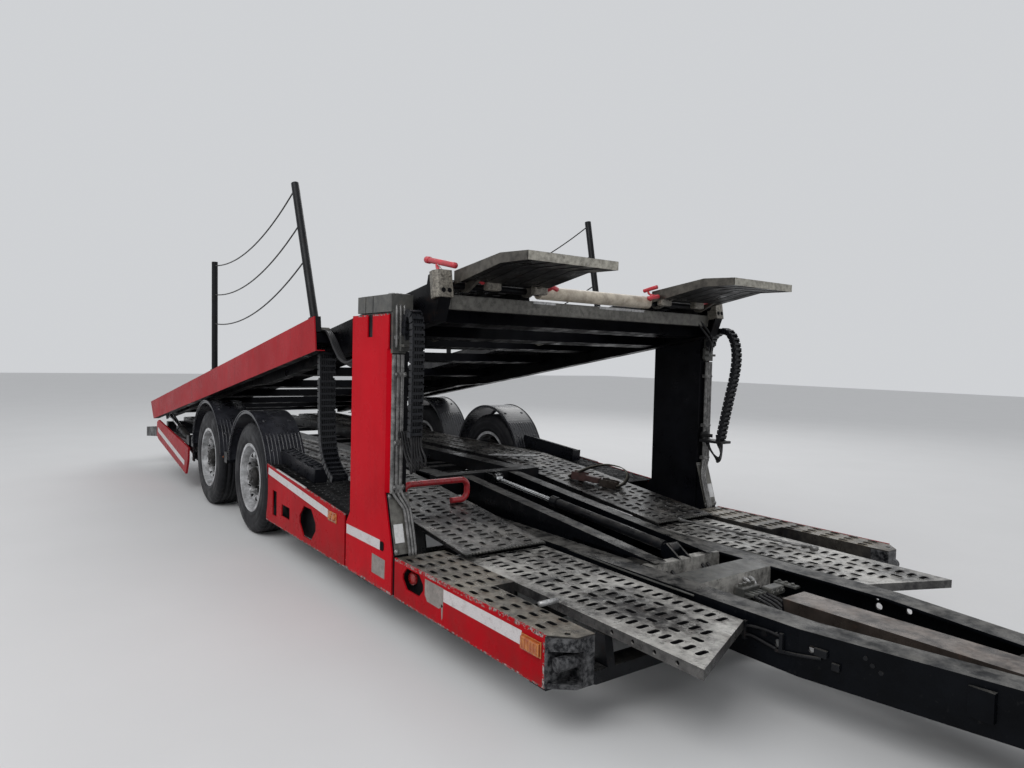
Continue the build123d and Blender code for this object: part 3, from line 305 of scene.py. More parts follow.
# looks by name
M = {
    "red": red_paint("red_paint", cover_edges),
    # red_skirt: the same red paint as the post covers in a darker tone, as painted shade
    "red_skirt": red_paint("red_paint_skirt", skirt_edges, 0.7, (0.31, 0.0015, 0.006), (0.40, 0.004, 0.01)),
    # red_panel: a darker red with pale clouds of painted reflection
    "red_panel": red_paint("red_paint_panel", None, 1.0, (0.31, 0.005, 0.010), (0.39, 0.010, 0.017), 0.09),
    "red_bar": plain_wear("red_bar_paint", (0.52, 0.025, 0.035), (0.16, 0.035, 0.034), 0.3, 0, 26, 0.3,
                          0.6, 0.3),
    "red_handle": plain_wear("red_handle_paint", (0.55, 0.03, 0.045), (0.3, 0.04, 0.045), 0.35, 0, 26,
                             0.2, 0.5, 0.2),
    "black": dark_steel("black_steel", (0.0065, 0.007, 0.0085), rust=0.1, spec=0.2),
    "beam": dark_steel("beam_steel", (0.0025, 0.003, 0.0042), (0.075, 0.072, 0.067), 0.95, 0.22,
                       spots=0.08, spec=0.08),
    "tie": track_steel("tie_steel", (0.6, 0.58, 0.54), (0.05, 0.048, 0.046), 0.44, 0.15, 0.3, 0.1),
    "brown": dark_steel("oily_brown_steel", (0.035, 0.028, 0.024), (0.11, 0.092, 0.08), 1.0, 0.22, 0.25,
                        spots=0.1),
    # under_deep, under and under_track are darker than the steel and plates themselves: painted shade for the
    # underside of the upper deck
    "under_deep": dark_steel("deck_member_steel", (0.0016, 0.0017, 0.0026), (0.008, 0.008, 0.009), 0.3,
                             0.3, 0.0, 0.0, 0.1, 0.05),
    "under": dark_steel("deck_under_steel", (0.0026, 0.0027, 0.0036), (0.03, 0.028, 0.026), 0.4, 0.26,
                        0.12, spots=0.15, spec=0.1),
    "under_track": track_steel("deck_track_steel", (0.075, 0.07, 0.064), (0.006, 0.006, 0.0065), 0.56,
                               0.2, 0.3, 0.85),
    "post": dark_steel("post_steel", (0.0028, 0.003, 0.0045), (0.02, 0.02, 0.021), 0.3, 0.3, spots=0.15,
                       spec=0.12),
    "grey": plain_wear("grey_steel", (0.06, 0.061, 0.058), (0.12, 0.115, 0.1), 0.42, 0.25, 22, 0.4, 0.7),
    "pipe": plain_wear("pipe_steel", (0.24, 0.235, 0.23), (0.025, 0.025, 0.025), 0.28, 0.4, 26, 0.3, 0.75),
    "silver": plain_wear("silver_bracket", (0.25, 0.23, 0.195), (0.035, 0.031, 0.026), 0.4, 0.3, 90, 0.6,
                         0.85),
    "bright": plain_wear("scoured_steel", (0.5, 0.5, 0.5), (0.14, 0.135, 0.13), 0.3, 0.5, 30, 0.3, 0.6),
    "step": dark_steel("step_box_steel", (0.0045, 0.005, 0.0075), (0.05, 0.051, 0.054), 0.55, 0.2,
                       spots=0.3, spec=0.25),
    "grey_light": plain_wear("worn_light_steel", (0.15, 0.145, 0.13), (0.05, 0.047, 0.042), 0.45, 0.3, 30,
                             0.45, 0.8),
    "scuffed": plain_wear("scuffed_black_steel", (0.007, 0.0075, 0.0095), (0.2, 0.2, 0.205), 0.34, 0.2,
                          44, 0.4, 0.55, 0, 0.3),
    # track: its light tone is partly wear where the plates are driven on and partly a painted wet reflection
    "track": track_steel("track_steel", (0.24, 0.23, 0.215), (0.014, 0.0135, 0.0135), 0.54, 0.25, 0.3, 0.85),
    "track_front": track_steel("front_track_steel", (0.5, 0.485, 0.455), (0.032, 0.03, 0.029), 0.475,
                               0.22, 0.3, 0.8),
    "track_side": track_steel("platform_steel", (0.24, 0.215, 0.175), (0.028, 0.025, 0.022), 0.5, 0.7,
                              0.3, 0.8),
    "track_rear": track_steel("rear_platform_steel", (0.05, 0.049, 0.047), (0.007, 0.007, 0.0075), 0.56,
                              0.15),
    "tip": track_steel("tip_steel", (0.105, 0.098, 0.088), (0.017, 0.016, 0.017), 0.52, 0.35),
    "tip_edge": plain_wear("tip_edge_steel", (0.1, 0.092, 0.078), (0.026, 0.023, 0.02), 0.4, 0.3, 20, 0.4,
                           0.85, 0, 0.4),
    "tip_worn": plain_wear("tip_front_steel", (0.42, 0.4, 0.345), (0.1, 0.09, 0.078), 0.45, 0.2, 40, 0.4,
                           0.7, 0, 0.4),
    # tip_low is darker than the steel itself: painted shade for the tips' underside
    "tip_low": dark_steel("tip_under_steel", (0.004, 0.004, 0.0045), (0.03, 0.028, 0.026), 0.4, 0.26,
                          0.12, spots=0.2, spec=0.15),
    "tyre": tyre_rubber("tyre_rubber"),
    "rim": dusty_rim("rim_silver"),
    "hub": plain_wear("hub_steel", (0.028, 0.027, 0.026), (0.012, 0.01, 0.009), 0.45, 0.3, 40, 0.4, 0.7,
                      0, 0.3),
    "plastic": plain_wear("black_plastic", (0.017, 0.0175, 0.022), (0.045, 0.046, 0.056), 0.26, 0, 9, 0.2,
                          0.6, 0.25, 0.45),
    "rubber": plain_wear("hose_rubber", (0.006, 0.006, 0.0075), (0.03, 0.028, 0.027), 0.4, 0, 40, 0.3,
                         0.5, 0, 0.3),
    "chain": plain_wear("chain_plastic", (0.0055, 0.006, 0.0085), (0.022, 0.023, 0.027), 0.36, 0, 60, 0.3,
                        0.5, 0, 0.3),
    "chrome": plain_wear("chrome_rod", (0.7, 0.71, 0.72), (0.35, 0.33, 0.3), 0.16, 0.95, 30, 0.1, 0.4),
    "cream": plain_wear("cream_paint", (0.54, 0.48, 0.39), (0.17, 0.13, 0.095), 0.4, 0, 14, 0.3, 0.7),
    "cast": plain_wear("cast_steel", (0.05, 0.048, 0.045), (0.14, 0.12, 0.1), 0.5, 0.4, 30, 0.6, 0.7),
    "rope": plain_wear("rope_steel", (0.035, 0.035, 0.035), (0.1, 0.09, 0.08), 0.45, 0.4, 300, 0.5, 0.5),
    "stripe": stripe_white("reflective_tape"),
    "plate": plain_wear("blank_plate", (0.66, 0.66, 0.66), (0.4, 0.38, 0.36), 0.35, 0, 40, 0.15, 0.4),
    "patch": plain_wear("scraped_primer", (0.27, 0.245, 0.225), (0.13, 0.12, 0.11), 0.6, 0.1, 50, 0.5, 0.6),
    "amber": lens("amber_lens", (0.4, 0.075, 0.006), (0.7, 0.27, 0.04)),
    "red_lens": lens("red_lens", (0.28, 0.007, 0.007), (0.5, 0.025, 0.025)),
    "web": webbing("strap_web", (0.09, 0.085, 0.07), (0.3, 0.28, 0.225)),
    "web_dark": webbing("strap_web_dark", (0.006, 0.006, 0.006), (0.02, 0.019, 0.018)),
    "ratchet": plain_wear("ratchet_paint", (0.1, 0.048, 0.042), (0.035, 0.027, 0.024), 0.5, 0.1, 30, 0.4,
                          0.8),
    "dark_hole": plain_wear("deep_shadow", (0.003, 0.003, 0.004), (0.007, 0.007, 0.007), 0.7, 0, 20, 0.1,
                            0.5, 0, 0.1),
}

NODE_LOOK = {
    "ladder_rails": "black", "inner_rails": "beam", "cross_members": "black", "axles": "black",
    "suspension_arms": "black", "air_springs": "rubber", "mudguards": "plastic", "lower_tracks": "track",
    "side_platforms": "track_side", "side_skirts": "red_skirt", "platform_end_boxes": "scuffed",
    "lift_posts": "post", "post_covers": "red", "post_guides": "pipe", "tail_skirts": "red_panel",
    "tail_bar": "black", "tail_lamps": "red_lens", "side_lamps": "amber", "wheel_stop_bar": "red_bar",
    "drawbar": "beam", "drawbar_eye": "cast", "jack_leg": "grey", "drawbar_ram_barrel": "black",
    "drawbar_ram_rod": "chrome", "lift_masts": "grey", "deck_girders": "under",
    "deck_cross_members": "under_deep", "deck_side_panels": "red_panel", "deck_tracks": "under",
    "handrail_posts": "black", "handrail_ropes": "rope", "tip_hinge_tube": "cream",
    "deck_tip_left": "tip", "deck_tip_right": "tip", "front_track_left": "track_front",
    "front_track_right": "track_front", "deck_ram_barrels": "black", "deck_ram_rods": "chrome",
}

for node_name, obj in NODES.items():
    obj.data.materials.clear()
    obj.data.materials.append(M[NODE_LOOK.get(node_name) or node_name.split("_")[-1]])
    for poly in obj.data.polygons:
        poly.use_smooth = node_name.endswith(("_rim", "_tyre"))


# mesh helpers
def add(name, bm, look, body, smooth=False, side="left", stands_for=None):
    """Turns a bmesh, drawn on the left, into a piece on side left, right or both that rides on a body."""
    if side == "both":
        copied = bmesh.ops.duplicate(bm, geom=bm.verts[:] + bm.edges[:] + bm.faces[:])["geom"]
        other = [v for v in copied if isinstance(v, bmesh.types.BMVert)]
    else:
        other = bm.verts if side == "right" else []
    for v in other:
        v.co.y = -v.co.y
    bmesh.ops.recalc_face_normals(bm, faces=bm.faces)
    mesh = bpy.data.meshes.new(name)
    bm.to_mesh(mesh)
    bm.free()
    mesh.materials.append(M[look])
    for poly in mesh.polygons:
        poly.use_smooth = smooth
    obj = bpy.data.objects.new(name, mesh)
    SCENE.collection.objects.link(obj)
    if body:
        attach(obj, body)
    if stands_for:
        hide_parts(stands_for)
    return obj


def add_pair(name, bm, look, body, smooth=False, stands_for=""):
    """The same piece on the left and, mirrored, on the right. {} in a name is the side."""
    for side in ("left", "right"):
        add(name.format(side), bm.copy(), look, body.format(side), smooth, side,
            stands_for.format(side))
    bm.free()


def skin(bm, rings, caps=(), wrap=False, closed=True):
    """Faces between rings of equal size. caps are rings to fill, wrap joins the last to the first."""
    rings = [[bm.verts.new(p) for p in ring] for ring in rings]
    n = len(rings[0])
    for r0, r1 in zip(rings, rings[1:] + rings[:1] if wrap else rings[1:]):
        for j in range(n if closed else n - 1):
            bm.faces.new((r0[j], r0[(j + 1) % n], r1[(j + 1) % n], r1[j]))
    for k in caps:
        bm.faces.new(rings[k])


def turns(count):
    return [2 * math.pi * k / count for k in range(count)]


def block(bm, x0, x1, y0, y1, z0, z1, bevel=0.0, place=Matrix()):
    """Block between six limits with small bevels, in an optional local place."""
    middle = Matrix.Translation(((x0 + x1) / 2, (y0 + y1) / 2, (z0 + z1) / 2))
    size = Matrix.Diagonal((x1 - x0, y1 - y0, z1 - z0, 1.0))
    made = bmesh.ops.create_cube(bm, size=1.0, matrix=place @ middle @ size)["verts"]
    if bevel:
        edges = list({e for v in made for e in v.link_edges})
        bmesh.ops.bevel(bm, geom=edges, offset=bevel, segments=2, affect="EDGES", profile=0.5)


def smooth_line(points, per=8):
    """Catmull-Rom points through the given points."""
    p = [Vector(q) for q in points]
    if len(p) < 3:
        return p
    p = [2 * p[0] - p[1]] + p + [2 * p[-1] - p[-2]]
    out = []
    for i in range(1, len(p) - 2):
        a, b, c, d = p[i - 1:i + 3]
        for k in range(per):
            t = k / per
            out.append(0.5 * ((2 * b) + (c - a) * t + (2 * a - 5 * b + 4 * c - d) * t * t
                              + (3 * b - a - 3 * c + d) * t ** 3))
    return out + [p[-2]]


def round_along(bm, line, radii, sides):
    """Round section along a line, with a radius for each point."""
    rings = []
    side = None
    for i, (q, radius) in enumerate(zip(line, radii)):
        t = (line[min(i + 1, len(line) - 1)] - line[max(i - 1, 0)]).normalized()
        if side is None:
            side = Vector((0, 1, 0)) if abs(t.y) < 0.9 else Vector((1, 0, 0))
            side = (side - t * side.dot(t)).normalized()
        side = (side - t * side.dot(t)).normalized()
        lift = t.cross(side)
        rings.append([q + radius * (math.cos(a) * side + math.sin(a) * lift) for a in turns(sides)])
    skin(bm, rings, caps=(0, -1))


def tube(bm, points, radius, sides=8, per=8):
    """Round tube along a smooth line through points."""
    line = smooth_line(points, per)
    round_along(bm, line, [radius] * len(line), sides)


def prism(bm, outline, y0, y1):
    """Outline in X and Z between two places across the trailer."""
    skin(bm, [[(x, y, z) for x, z in outline] for y in (y0, y1)], caps=(0, -1))


def bolt(bm, centre, normal, r=0.011, h=0.008):
    """Hexagon head with a washer, standing on a surface."""
    base = Matrix.Translation(centre) @ Vector(normal).to_track_quat("Z", "Y").to_matrix().to_4x4()
    for foot, z0, z1, count in ((r * 1.5, 0.0, h * 0.3, 12), (r, h * 0.3, h, 6)):
        skin(bm, [[base @ Vector((q * math.cos(a), q * math.sin(a), z)) for a in turns(count)]
                  for q, z in ((foot, z0), (foot * 0.94, z1))], caps=(-1,))


def spun(bm, centre, profile, count=48, change=None, span=(0, 360)):
    """Profile of (radius, y) pairs turned about a line along Y. change(k, i) is added to a radius."""
    full = span == (0, 360)
    rings = []
    for k in range(count if full else count + 1):
        a = math.radians(span[0] + (span[1] - span[0]) * k / count)
        radii = [r + (change(k, i) if change else 0.0) for i, (r, y) in enumerate(profile)]
        rings.append([(centre[0] + r * math.cos(a), centre[1] + y, centre[2] + r * math.sin(a))
                      for r, (old, y) in zip(radii, profile)])
    skin(bm, rings, () if full else (0, -1), full, False)


# the upper deck's own slope: u along, w up, pin as origin
PIN = Vector((1.655, 0, 1.688))
DECK = math.atan(0.1636)


def on_deck(u, y, w):
    """Point at u along and w above the deck, y across."""
    c, s = math.cos(DECK), math.sin(DECK)
    return Vector((PIN.x + u * c - w * s, y, PIN.z + u * s + w * c))


def deck_prism(bm, outline, y0, y1):
    """Prism whose outline is given in u and w."""
    prism(bm, [on_deck(u, 0, w).xz for u, w in outline], y0, y1)


def box(a0, a1, b0, b1):
    """Corners of a rectangle, anticlockwise."""
    return [(a0, b0), (a1, b0), (a1, b1), (a0, b1)]


# slotted plates: half sizes of the slots, rims and pitch
SLOT_SIDES = 10
ACROSS_SLOT, ALONG_SLOT, PLATFORM_SLOT = (0.027, 0.010), (0.023, 0.0105), (0.022, 0.009)
SLOT_PITCH = 0.0585
SLOT_RIM = 0.0055
SHEET = 0.006


def slot_loop(half_long, half_wide, grow, across):
    """Points of a slot, long way along the first axis, or along the second if it lies across."""
    r = half_wide + grow
    a = half_long - half_wide
    pts = []
    for k in range(SLOT_SIDES):
        ang = 2 * math.pi * (k + 0.5) / SLOT_SIDES - math.pi / 2
        c, s = math.cos(ang), math.sin(ang)
        p, q = r * c + (a if c > 0 else -a), r * s
        pts.append((-q, p) if across else (p, q))
    return pts


def cell_edge(rim, half, top, low):
    """The rim pushed out to the edge of its cell, with its nearest point moved into each corner."""
    edge = []
    for a, b in rim:
        f = min(half / max(abs(a), 1e-9), (top if b > 0 else low) / max(abs(b), 1e-9))
        edge.append((a * f, b * f))
    used = set()
    for cx, cy in ((half, top), (-half, top), (-half, -low), (half, -low)):
        order = sorted(range(len(edge)), key=lambda j: (edge[j][0] - cx) ** 2 + (edge[j][1] - cy) ** 2)
        j = next(k for k in order if k not in used)
        used.add(j)
        edge[j] = (cx, cy)
    return edge


def slotted_plate(bm, place, s0, s1, rows, t0, t1, pitch=SLOT_PITCH, thick=SHEET, lip=0.0035):
    """Plate with rows of lipped slots. place(s, t, h) gives a point; rows are (t, is_across)."""
    middles = [t for t, across in rows]
    limits = [t0] + [(a + b) / 2 for a, b in zip(middles, middles[1:])] + [t1]
    for (t, across), lo, hi in zip(rows, limits, limits[1:]):
        step = pitch if across else 2 * pitch
        count = int((s1 - s0) / step)
        spare = (s1 - s0 - count * step) / 2
        for a, b in ((s0, s0 + spare), (s1 - spare, s1)):
            for h in (0.0, -thick):
                if spare > 1e-4:
                    bm.faces.new([bm.verts.new(place(s, u, h)) for s, u in box(a, b, lo, hi)])
        slot = ACROSS_SLOT if across else ALONG_SLOT
        inner, rim = (slot_loop(*slot, grow, across) for grow in (0.0, SLOT_RIM))
        cell = cell_edge(rim, step / 2, hi - t, t - lo)
        for k in range(count):
            c = s0 + spare + (k + 0.5) * step
            skin(bm, [[place(c + a, t + b, h) for a, b in loop] for loop, h in
                      ((cell, 0.0), (rim, 0.0), (inner, lip), (inner, -thick), (cell, -thick))])


def line_place(line):
    """Maps a length along an (x, z) line, a side place and a height to a point."""
    runs = []
    total = 0.0
    for a, b in zip(line, line[1:]):
        d = Vector(b) - Vector(a)
        runs.append((total, total + d.length, Vector(a), d.normalized()))
        total += d.length

    def place(s, t, h):
        lo, hi, a, d = next((r for r in runs if s <= r[1] + 1e-6), runs[-1])
        n = Vector((d.y, -d.x)) if d.x < 0 else Vector((-d.y, d.x))
        p = a + d * (s - lo) + n * h
        return Vector((p.x, t, p.y))
    return place, [r[0] for r in runs] + [total]


def evened(points, pitch, per=12):
    """Points an even distance apart along a smooth line."""
    line = smooth_line(points, per)
    out = [line[0]]
    left = pitch
    for a, b in zip(line, line[1:]):
        d = (b - a).length
        at = 0.0
        while d - at >= left:
            at += left
            out.append(a + (b - a) * (at / d))
            left = pitch
        left -= d - at
    return out


def carrier(bm, points, wide, deep, pitch, cables):
    """Cable carrier whose links are wide along Y: two cheeks, a bar over and a bar under for each link."""
    for k in range(cables):
        y = (k - (cables - 1) / 2) * (wide - 0.024) / (cables - 1)
        tube(bm, [(x, p + y, z) for x, p, z in points], 0.0075, 6, 6)
    links = evened(points, pitch)
    for a, b in zip(links, links[1:]):
        t = (b - a).normalized()
        s = Vector((0, 1, 0))
        s = (s - t * s.dot(t)).normalized()
        place = Matrix((t, s, t.cross(s))).transposed().to_4x4()
        place.translation = (a + b) / 2
        half = (b - a).length * 0.56
        for sign in (1, -1):
            edge = sign * wide / 2
            inner = edge - sign * 0.005
            block(bm, -half, half * 0.5, edge - 0.004, edge + 0.004, -deep / 2, deep / 2, 0.0015, place)
            block(bm, half * 0.3, half, inner - 0.004, inner + 0.004, 0.006 - deep / 2, deep / 2 - 0.006, 0,
                  place)
            bar = sign * deep / 2
            block(bm, -0.007, 0.007, -wide / 2, wide / 2, bar - 0.004, bar + 0.003, 0, place)


def plates(name, look, y0, y1, outlines):
    """Sheets on both sides of the chassis, with outlines in X and Z."""
    bm = bmesh.new()
    for outline in outlines:
        prism(bm, outline, y0, y1)
    add(name, bm, look, "chassis", side="both")


def strip(a, b, half):
    """Corners of a strip about the line from a to b, in X and Z."""
    d = (Vector(b) - Vector(a)).normalized() * half
    n = Vector((-d.y, d.x))
    return [tuple(Vector(p) + e) for p, e in ((a, -n), (b, -n), (b, n), (a, n))]


# lower tracks
TRACK_ROWS = [(0.538, True), (0.624, False), (0.710, True), (0.796, False), (0.882, True)]
TRACK_LINE = [(2.100, 0.414), (0.950, 0.545), (0.300, 0.606), (-4.250, 0.606)]
TRACK_DEPTHS = (0.014, 0.050, 0.050, 0.050)
TRACK_JOINTS = {1.157, 2.61, 4.4}
TRACK_Y = (0.450, 0.970)

bm = bmesh.new()
place, marks = line_place(TRACK_LINE)
cuts = sorted(set(marks) | TRACK_JOINTS)
for s0, s1 in zip(cuts, cuts[1:]):
    if s1 - s0 > 0.03:
        slotted_plate(bm, place, s0, s1, TRACK_ROWS, *TRACK_Y)
for a, b in ((TRACK_Y[0], TRACK_Y[0] + SHEET), (TRACK_Y[1] - SHEET, TRACK_Y[1])):
    skin(bm, [[(x, y, z - down) for y, down in ((a, SHEET), (a, d), (b, d), (b, SHEET))]
              for (x, z), d in zip(TRACK_LINE, TRACK_DEPTHS)], caps=(0, -1))
add("lower_track_plates", bm, "track", "chassis", side="both", stands_for="lower_tracks")

bm = bmesh.new()
for k in range(26):         # rolled teeth along the front edge of each lower track
    y = 0.462 + k * 0.0198
    block(bm, 2.088, 2.106, y, y + 0.011, 0.4115, 0.4195, 0.002)
for x, z in TRACK_LINE[1:3]:
    block(bm, x - 0.007, x + 0.007, 0.452, 0.968, z - 0.001, z + 0.0025, 0.001)
add("lower_track_joints", bm, "grey", "chassis", side="both")

# upper deck tracks and walkways
DECK_ROWS = [(0.520, True), (0.610, False), (0.725, True), (0.840, False), (0.930, True)]
WALK_ROWS = [(1.150, True), (1.215, True)]
DECK_JOINTS = (-6.2, -4.9, -3.3, -1.65, 0.25)
bm = bmesh.new()
for u0, u1 in zip(DECK_JOINTS, DECK_JOINTS[1:]):
    slotted_plate(bm, lambda s, t, h: on_deck(s, t, 0.095 + h), u0, u1, DECK_ROWS, 0.450, 1.000)
slotted_plate(bm, lambda s, t, h: on_deck(s, t, 0.016 + h), -6.2, -0.918, WALK_ROWS, 1.114, 1.267,
              2 * SLOT_PITCH)
for y0, y1 in ((0.450, 0.456), (0.994, 1.000)):
    deck_prism(bm, box(-6.2, 0.25, 0.0100, 0.089), y0, y1)
for u in (-6.198, -4.9, -3.3, -1.65, 0.246):
    deck_prism(bm, box(u - 0.002, u + 0.002, 0.06, 0.094), 0.456, 0.994)
add("deck_track_plates", bm, "under_track", "upper_deck", side="both",
    stands_for="deck_tracks")

# tips: slotted top, deep side plates with a folded edge, ribs, lugs on the hinge shaft
TIP_TOP = [(1.984, 1.857), (2.388, 1.910), (2.604, 1.900)]
TIP_SIDE = TIP_TOP + [(2.604, 1.858), (2.388, 1.862), (1.984, 1.788)]
TIP_RIB = [(x, z - SHEET) for x, z in TIP_TOP] + [(2.598, 1.868), (2.388, 1.872), (2.0, 1.812)]
TIP_LUG = [(1.961, 1.822), (1.988, 1.854), (2.120, 1.866), (2.120, 1.818), (1.985, 1.754), (1.961, 1.754)]
TIP_ROWS = [(0.508, True), (0.590, False), (0.670, True), (0.728, False), (0.786, True), (0.866, False),
            (0.948, True)]
TIP = "deck_tip_{}"

bm = bmesh.new()
place, marks = line_place(TIP_TOP)
for s0, s1 in zip(marks, marks[1:]):
    slotted_plate(bm, place, s0, s1, TIP_ROWS, 0.458, 0.998)
add_pair("tip_plate_{}", bm, "tip", TIP, stands_for=TIP)
bm = bmesh.new()
for y0, y1 in ((0.452, 0.458), (0.998, 1.004)):
    prism(bm, TIP_SIDE, y0, y1)
for y in (0.516, 0.625, 0.728, 0.831, 0.917):
    prism(bm, TIP_RIB, y - 0.003, y + 0.003)
for x, z0, z1 in ((2.12, 1.818, 1.868), (2.385, 1.866, 1.9)):
    block(bm, x, x + 0.006, 0.458, 0.998, z0, z1)
for y in (0.512, 0.914):
    prism(bm, TIP_LUG, y, y + 0.020)
    spun(bm, (1.961, y + 0.010, 1.788), box(0.0215, 0.034, -0.011, 0.011), 24)
add_pair("tip_frame_{}", bm, "tip_edge", TIP)
bm = bmesh.new()
block(bm, 2.598, 2.6045, 0.452, 1.004, 1.8580, 1.8995, 0.001)
add_pair("tip_front_{}", bm, "tip_worn", TIP)
bm = bmesh.new()
prism(bm, [(1.992, 1.846), (2.12, 1.857), (2.388, 1.895), (2.598, 1.888), (2.598, 1.879), (2.388, 1.884),
           (2.12, 1.846), (2.06, 1.822), (1.992, 1.802)], 0.458, 0.998)
prism(bm, [(2.075, 1.8075), (2.388, 1.8655), (2.598, 1.8615), (2.598, 1.8590), (2.388, 1.8630),
           (2.075, 1.8045)], 0.455, 1.001)
for y in (0.56, 0.66, 0.76, 0.86, 0.95):
    prism(bm, [(2.10, 1.811), (2.38, 1.8635), (2.59, 1.8600), (2.59, 1.8565), (2.38, 1.8600), (2.10, 1.8075)],
          y - 0.011, y + 0.011)
add_pair("tip_floor_{}", bm, "tip_low", TIP)
bm = bmesh.new()
for y in (0.455, 0.765):
    block(bm, 2.025, 2.072, y, y + 0.088, 1.766, 1.818, 0.009)
    block(bm, 2.012, 2.03, y + 0.02, y + 0.068, 1.775, 1.806, 0.004)
add_pair("tip_stops_{}", bm, "silver", TIP)
bm = bmesh.new()
for y in (0.400, 0.895):
    tube(bm, [(2.035, y - 0.036, 1.806), (2.045, y, 1.815), (2.05, y + 0.04, 1.822)], 0.0135, 10, 4)
    tube(bm, [(2.045, y, 1.815), (2.01, y + 0.008, 1.800)], 0.010, 8, 2)
add_pair("tip_catches_{}", bm, "red_handle", TIP, True)

# wheels: treaded tyres, wheel nuts, hub caps, valves
TYRE_HALF = [
    (0.269, 0.116), (0.276, 0.1205), (0.292, 0.1245), (0.300, 0.1262), (0.303, 0.1245), (0.325, 0.1285),
    (0.345, 0.1295), (0.366, 0.128), (0.369, 0.1262), (0.375, 0.1262), (0.378, 0.1268), (0.400, 0.1195),
    (0.411, 0.1135), (0.424, 0.107), (0.431, 0.098), (0.4325, 0.080), (0.4325, 0.066), (0.4215, 0.064),
    (0.4215, 0.056), (0.4328, 0.054), (0.4328, 0.020), (0.4220, 0.018), (0.4220, 0.010), (0.4328, 0.008)]
TYRE_PROFILE = TYRE_HALF + [(r, -y) for r, y in reversed(TYRE_HALF)]
HUB_CAP = [(0.001, 0.120), (0.030, 0.119), (0.034, 0.112), (0.060, 0.110), (0.070, 0.102), (0.0745, 0.086),
           (0.0745, 0.068)]


def tread(k, i):
    """Cuts across the shoulder ribs."""
    j = min(i, len(TYRE_PROFILE) - 1 - i)
    if 12 <= j <= 15:
        return -0.007 if k % 3 == 0 else 0.0
    return -0.004 if 19 <= j <= 20 and k % 4 == 0 else 0.0


def wheel_nuts(bm, x, count, circle, y, turned, *size):
    """Bolt heads on a circle about a wheel's middle, turned by a share of their spacing."""
    for k in range(count):
        a = 2 * math.pi * (k + turned) / count
        bolt(bm, (x + circle * math.cos(a), WHEEL_Y + y, WHEEL_Z + circle * math.sin(a)), (0, 1, 0), *size)


for axle, x in WHEELS.items():
    wheel = axle + "_{}_wheel"
    bm = bmesh.new()
    spun(bm, (x, WHEEL_Y, WHEEL_Z), TYRE_PROFILE, 144, tread)
    add_pair(axle + "_{}_tread_tyre", bm, "tyre", wheel, True, axle + "_{}_tyre")
    bm = bmesh.new()
    wheel_nuts(bm, x, 10, 0.110, 0.030, 0.5, 0.0155, 0.030)
    spun(bm, (x, WHEEL_Y, WHEEL_Z), HUB_CAP, 40)
    wheel_nuts(bm, x, 6, 0.052, 0.110, 0, 0.007, 0.006)
    add_pair(axle + "_{}_hub", bm, "hub", wheel)
    bm = bmesh.new()
    tube(bm, [(x + 0.215, WHEEL_Y + 0.055, WHEEL_Z), (x + 0.222, WHEEL_Y + 0.09, WHEEL_Z),
              (x + 0.205, WHEEL_Y + 0.118, WHEEL_Z)], 0.005)
    add_pair(axle + "_{}_valve", bm, "rubber", wheel, True)

# mudguards: ribs down the lower part, a rolled outer edge, stay bolts
GUARD_RIB = [(0.520, -0.005), (0.5255, -0.003), (0.5255, 0.003), (0.520, 0.005)]
GUARD_ROLL = [(0.504, -0.003), (0.504, 0.0035), (0.519, 0.0045), (0.5265, 0.0), (0.5265, -0.007),
              (0.521, -0.007)]
bm = bmesh.new()
for sign in (1, -1):
    for x in WHEELS.values():
        for k in range(10):
            for span in ((9, 47), (133, 171)):
                spun(bm, (x, sign * (1.000 + k * 0.027), WHEEL_Z), GUARD_RIB, 14, None, span)
        spun(bm, (x, sign * 1.2745, WHEEL_Z), GUARD_ROLL, 44, None, (8, 172))
        for a in (30, 62, 118, 150):
            n = Vector((math.cos(math.radians(a)), 0, math.sin(math.radians(a))))
            for y in (1.03, 1.22):
                bolt(bm, Vector((x, sign * y, WHEEL_Z)) + n * 0.522, n, 0.009, 0.006)
add("mudguard_ribs", bm, "plastic", "chassis", True)

# reflective stripes, scraped patches, plates and lamps
SKIRT_Y = 1.2745            # half a millimetre inside the skirts' outer faces
plates("side_stripes", "stripe", SKIRT_Y, 1.2759, [
    strip((-0.075, 0.5625), (1.0375, 0.4615), 0.0245), strip((-4.135, 0.478), (-2.760, 0.262), 0.026),
    box(1.317, 1.743, 0.403, 0.456), box(2.392, 2.977, 0.317, 0.374)])
plates("worn_patches", "patch", SKIRT_Y, 1.2755, [
    [(2.222, 0.377), (2.390, 0.376), (2.390, 0.292), (2.352, 0.274), (2.246, 0.276), (2.222, 0.302)],
    [(2.372, 0.300), (2.388, 0.296), (2.386, 0.238), (2.379, 0.228)],
    [(1.648, 0.264), (1.800, 0.262), (1.804, 0.362), (1.650, 0.366)]])
# a dark octagon on the skirt, drawn in the deep-shadow look as painted shade
plates("skirt_dark_octagon", "dark_hole", SKIRT_Y, 1.2775, [
    [(1.755, 0.405), (1.780, 0.405), (1.788, 0.413), (1.788, 0.444), (1.780, 0.452), (1.755, 0.452),
     (1.747, 0.444), (1.747, 0.413)]])
plates("skirt_top_strip", "stripe", 1.2670, 1.2762,
       [strip((0.10, 0.596), (0.66, 0.554), 0.0035)])

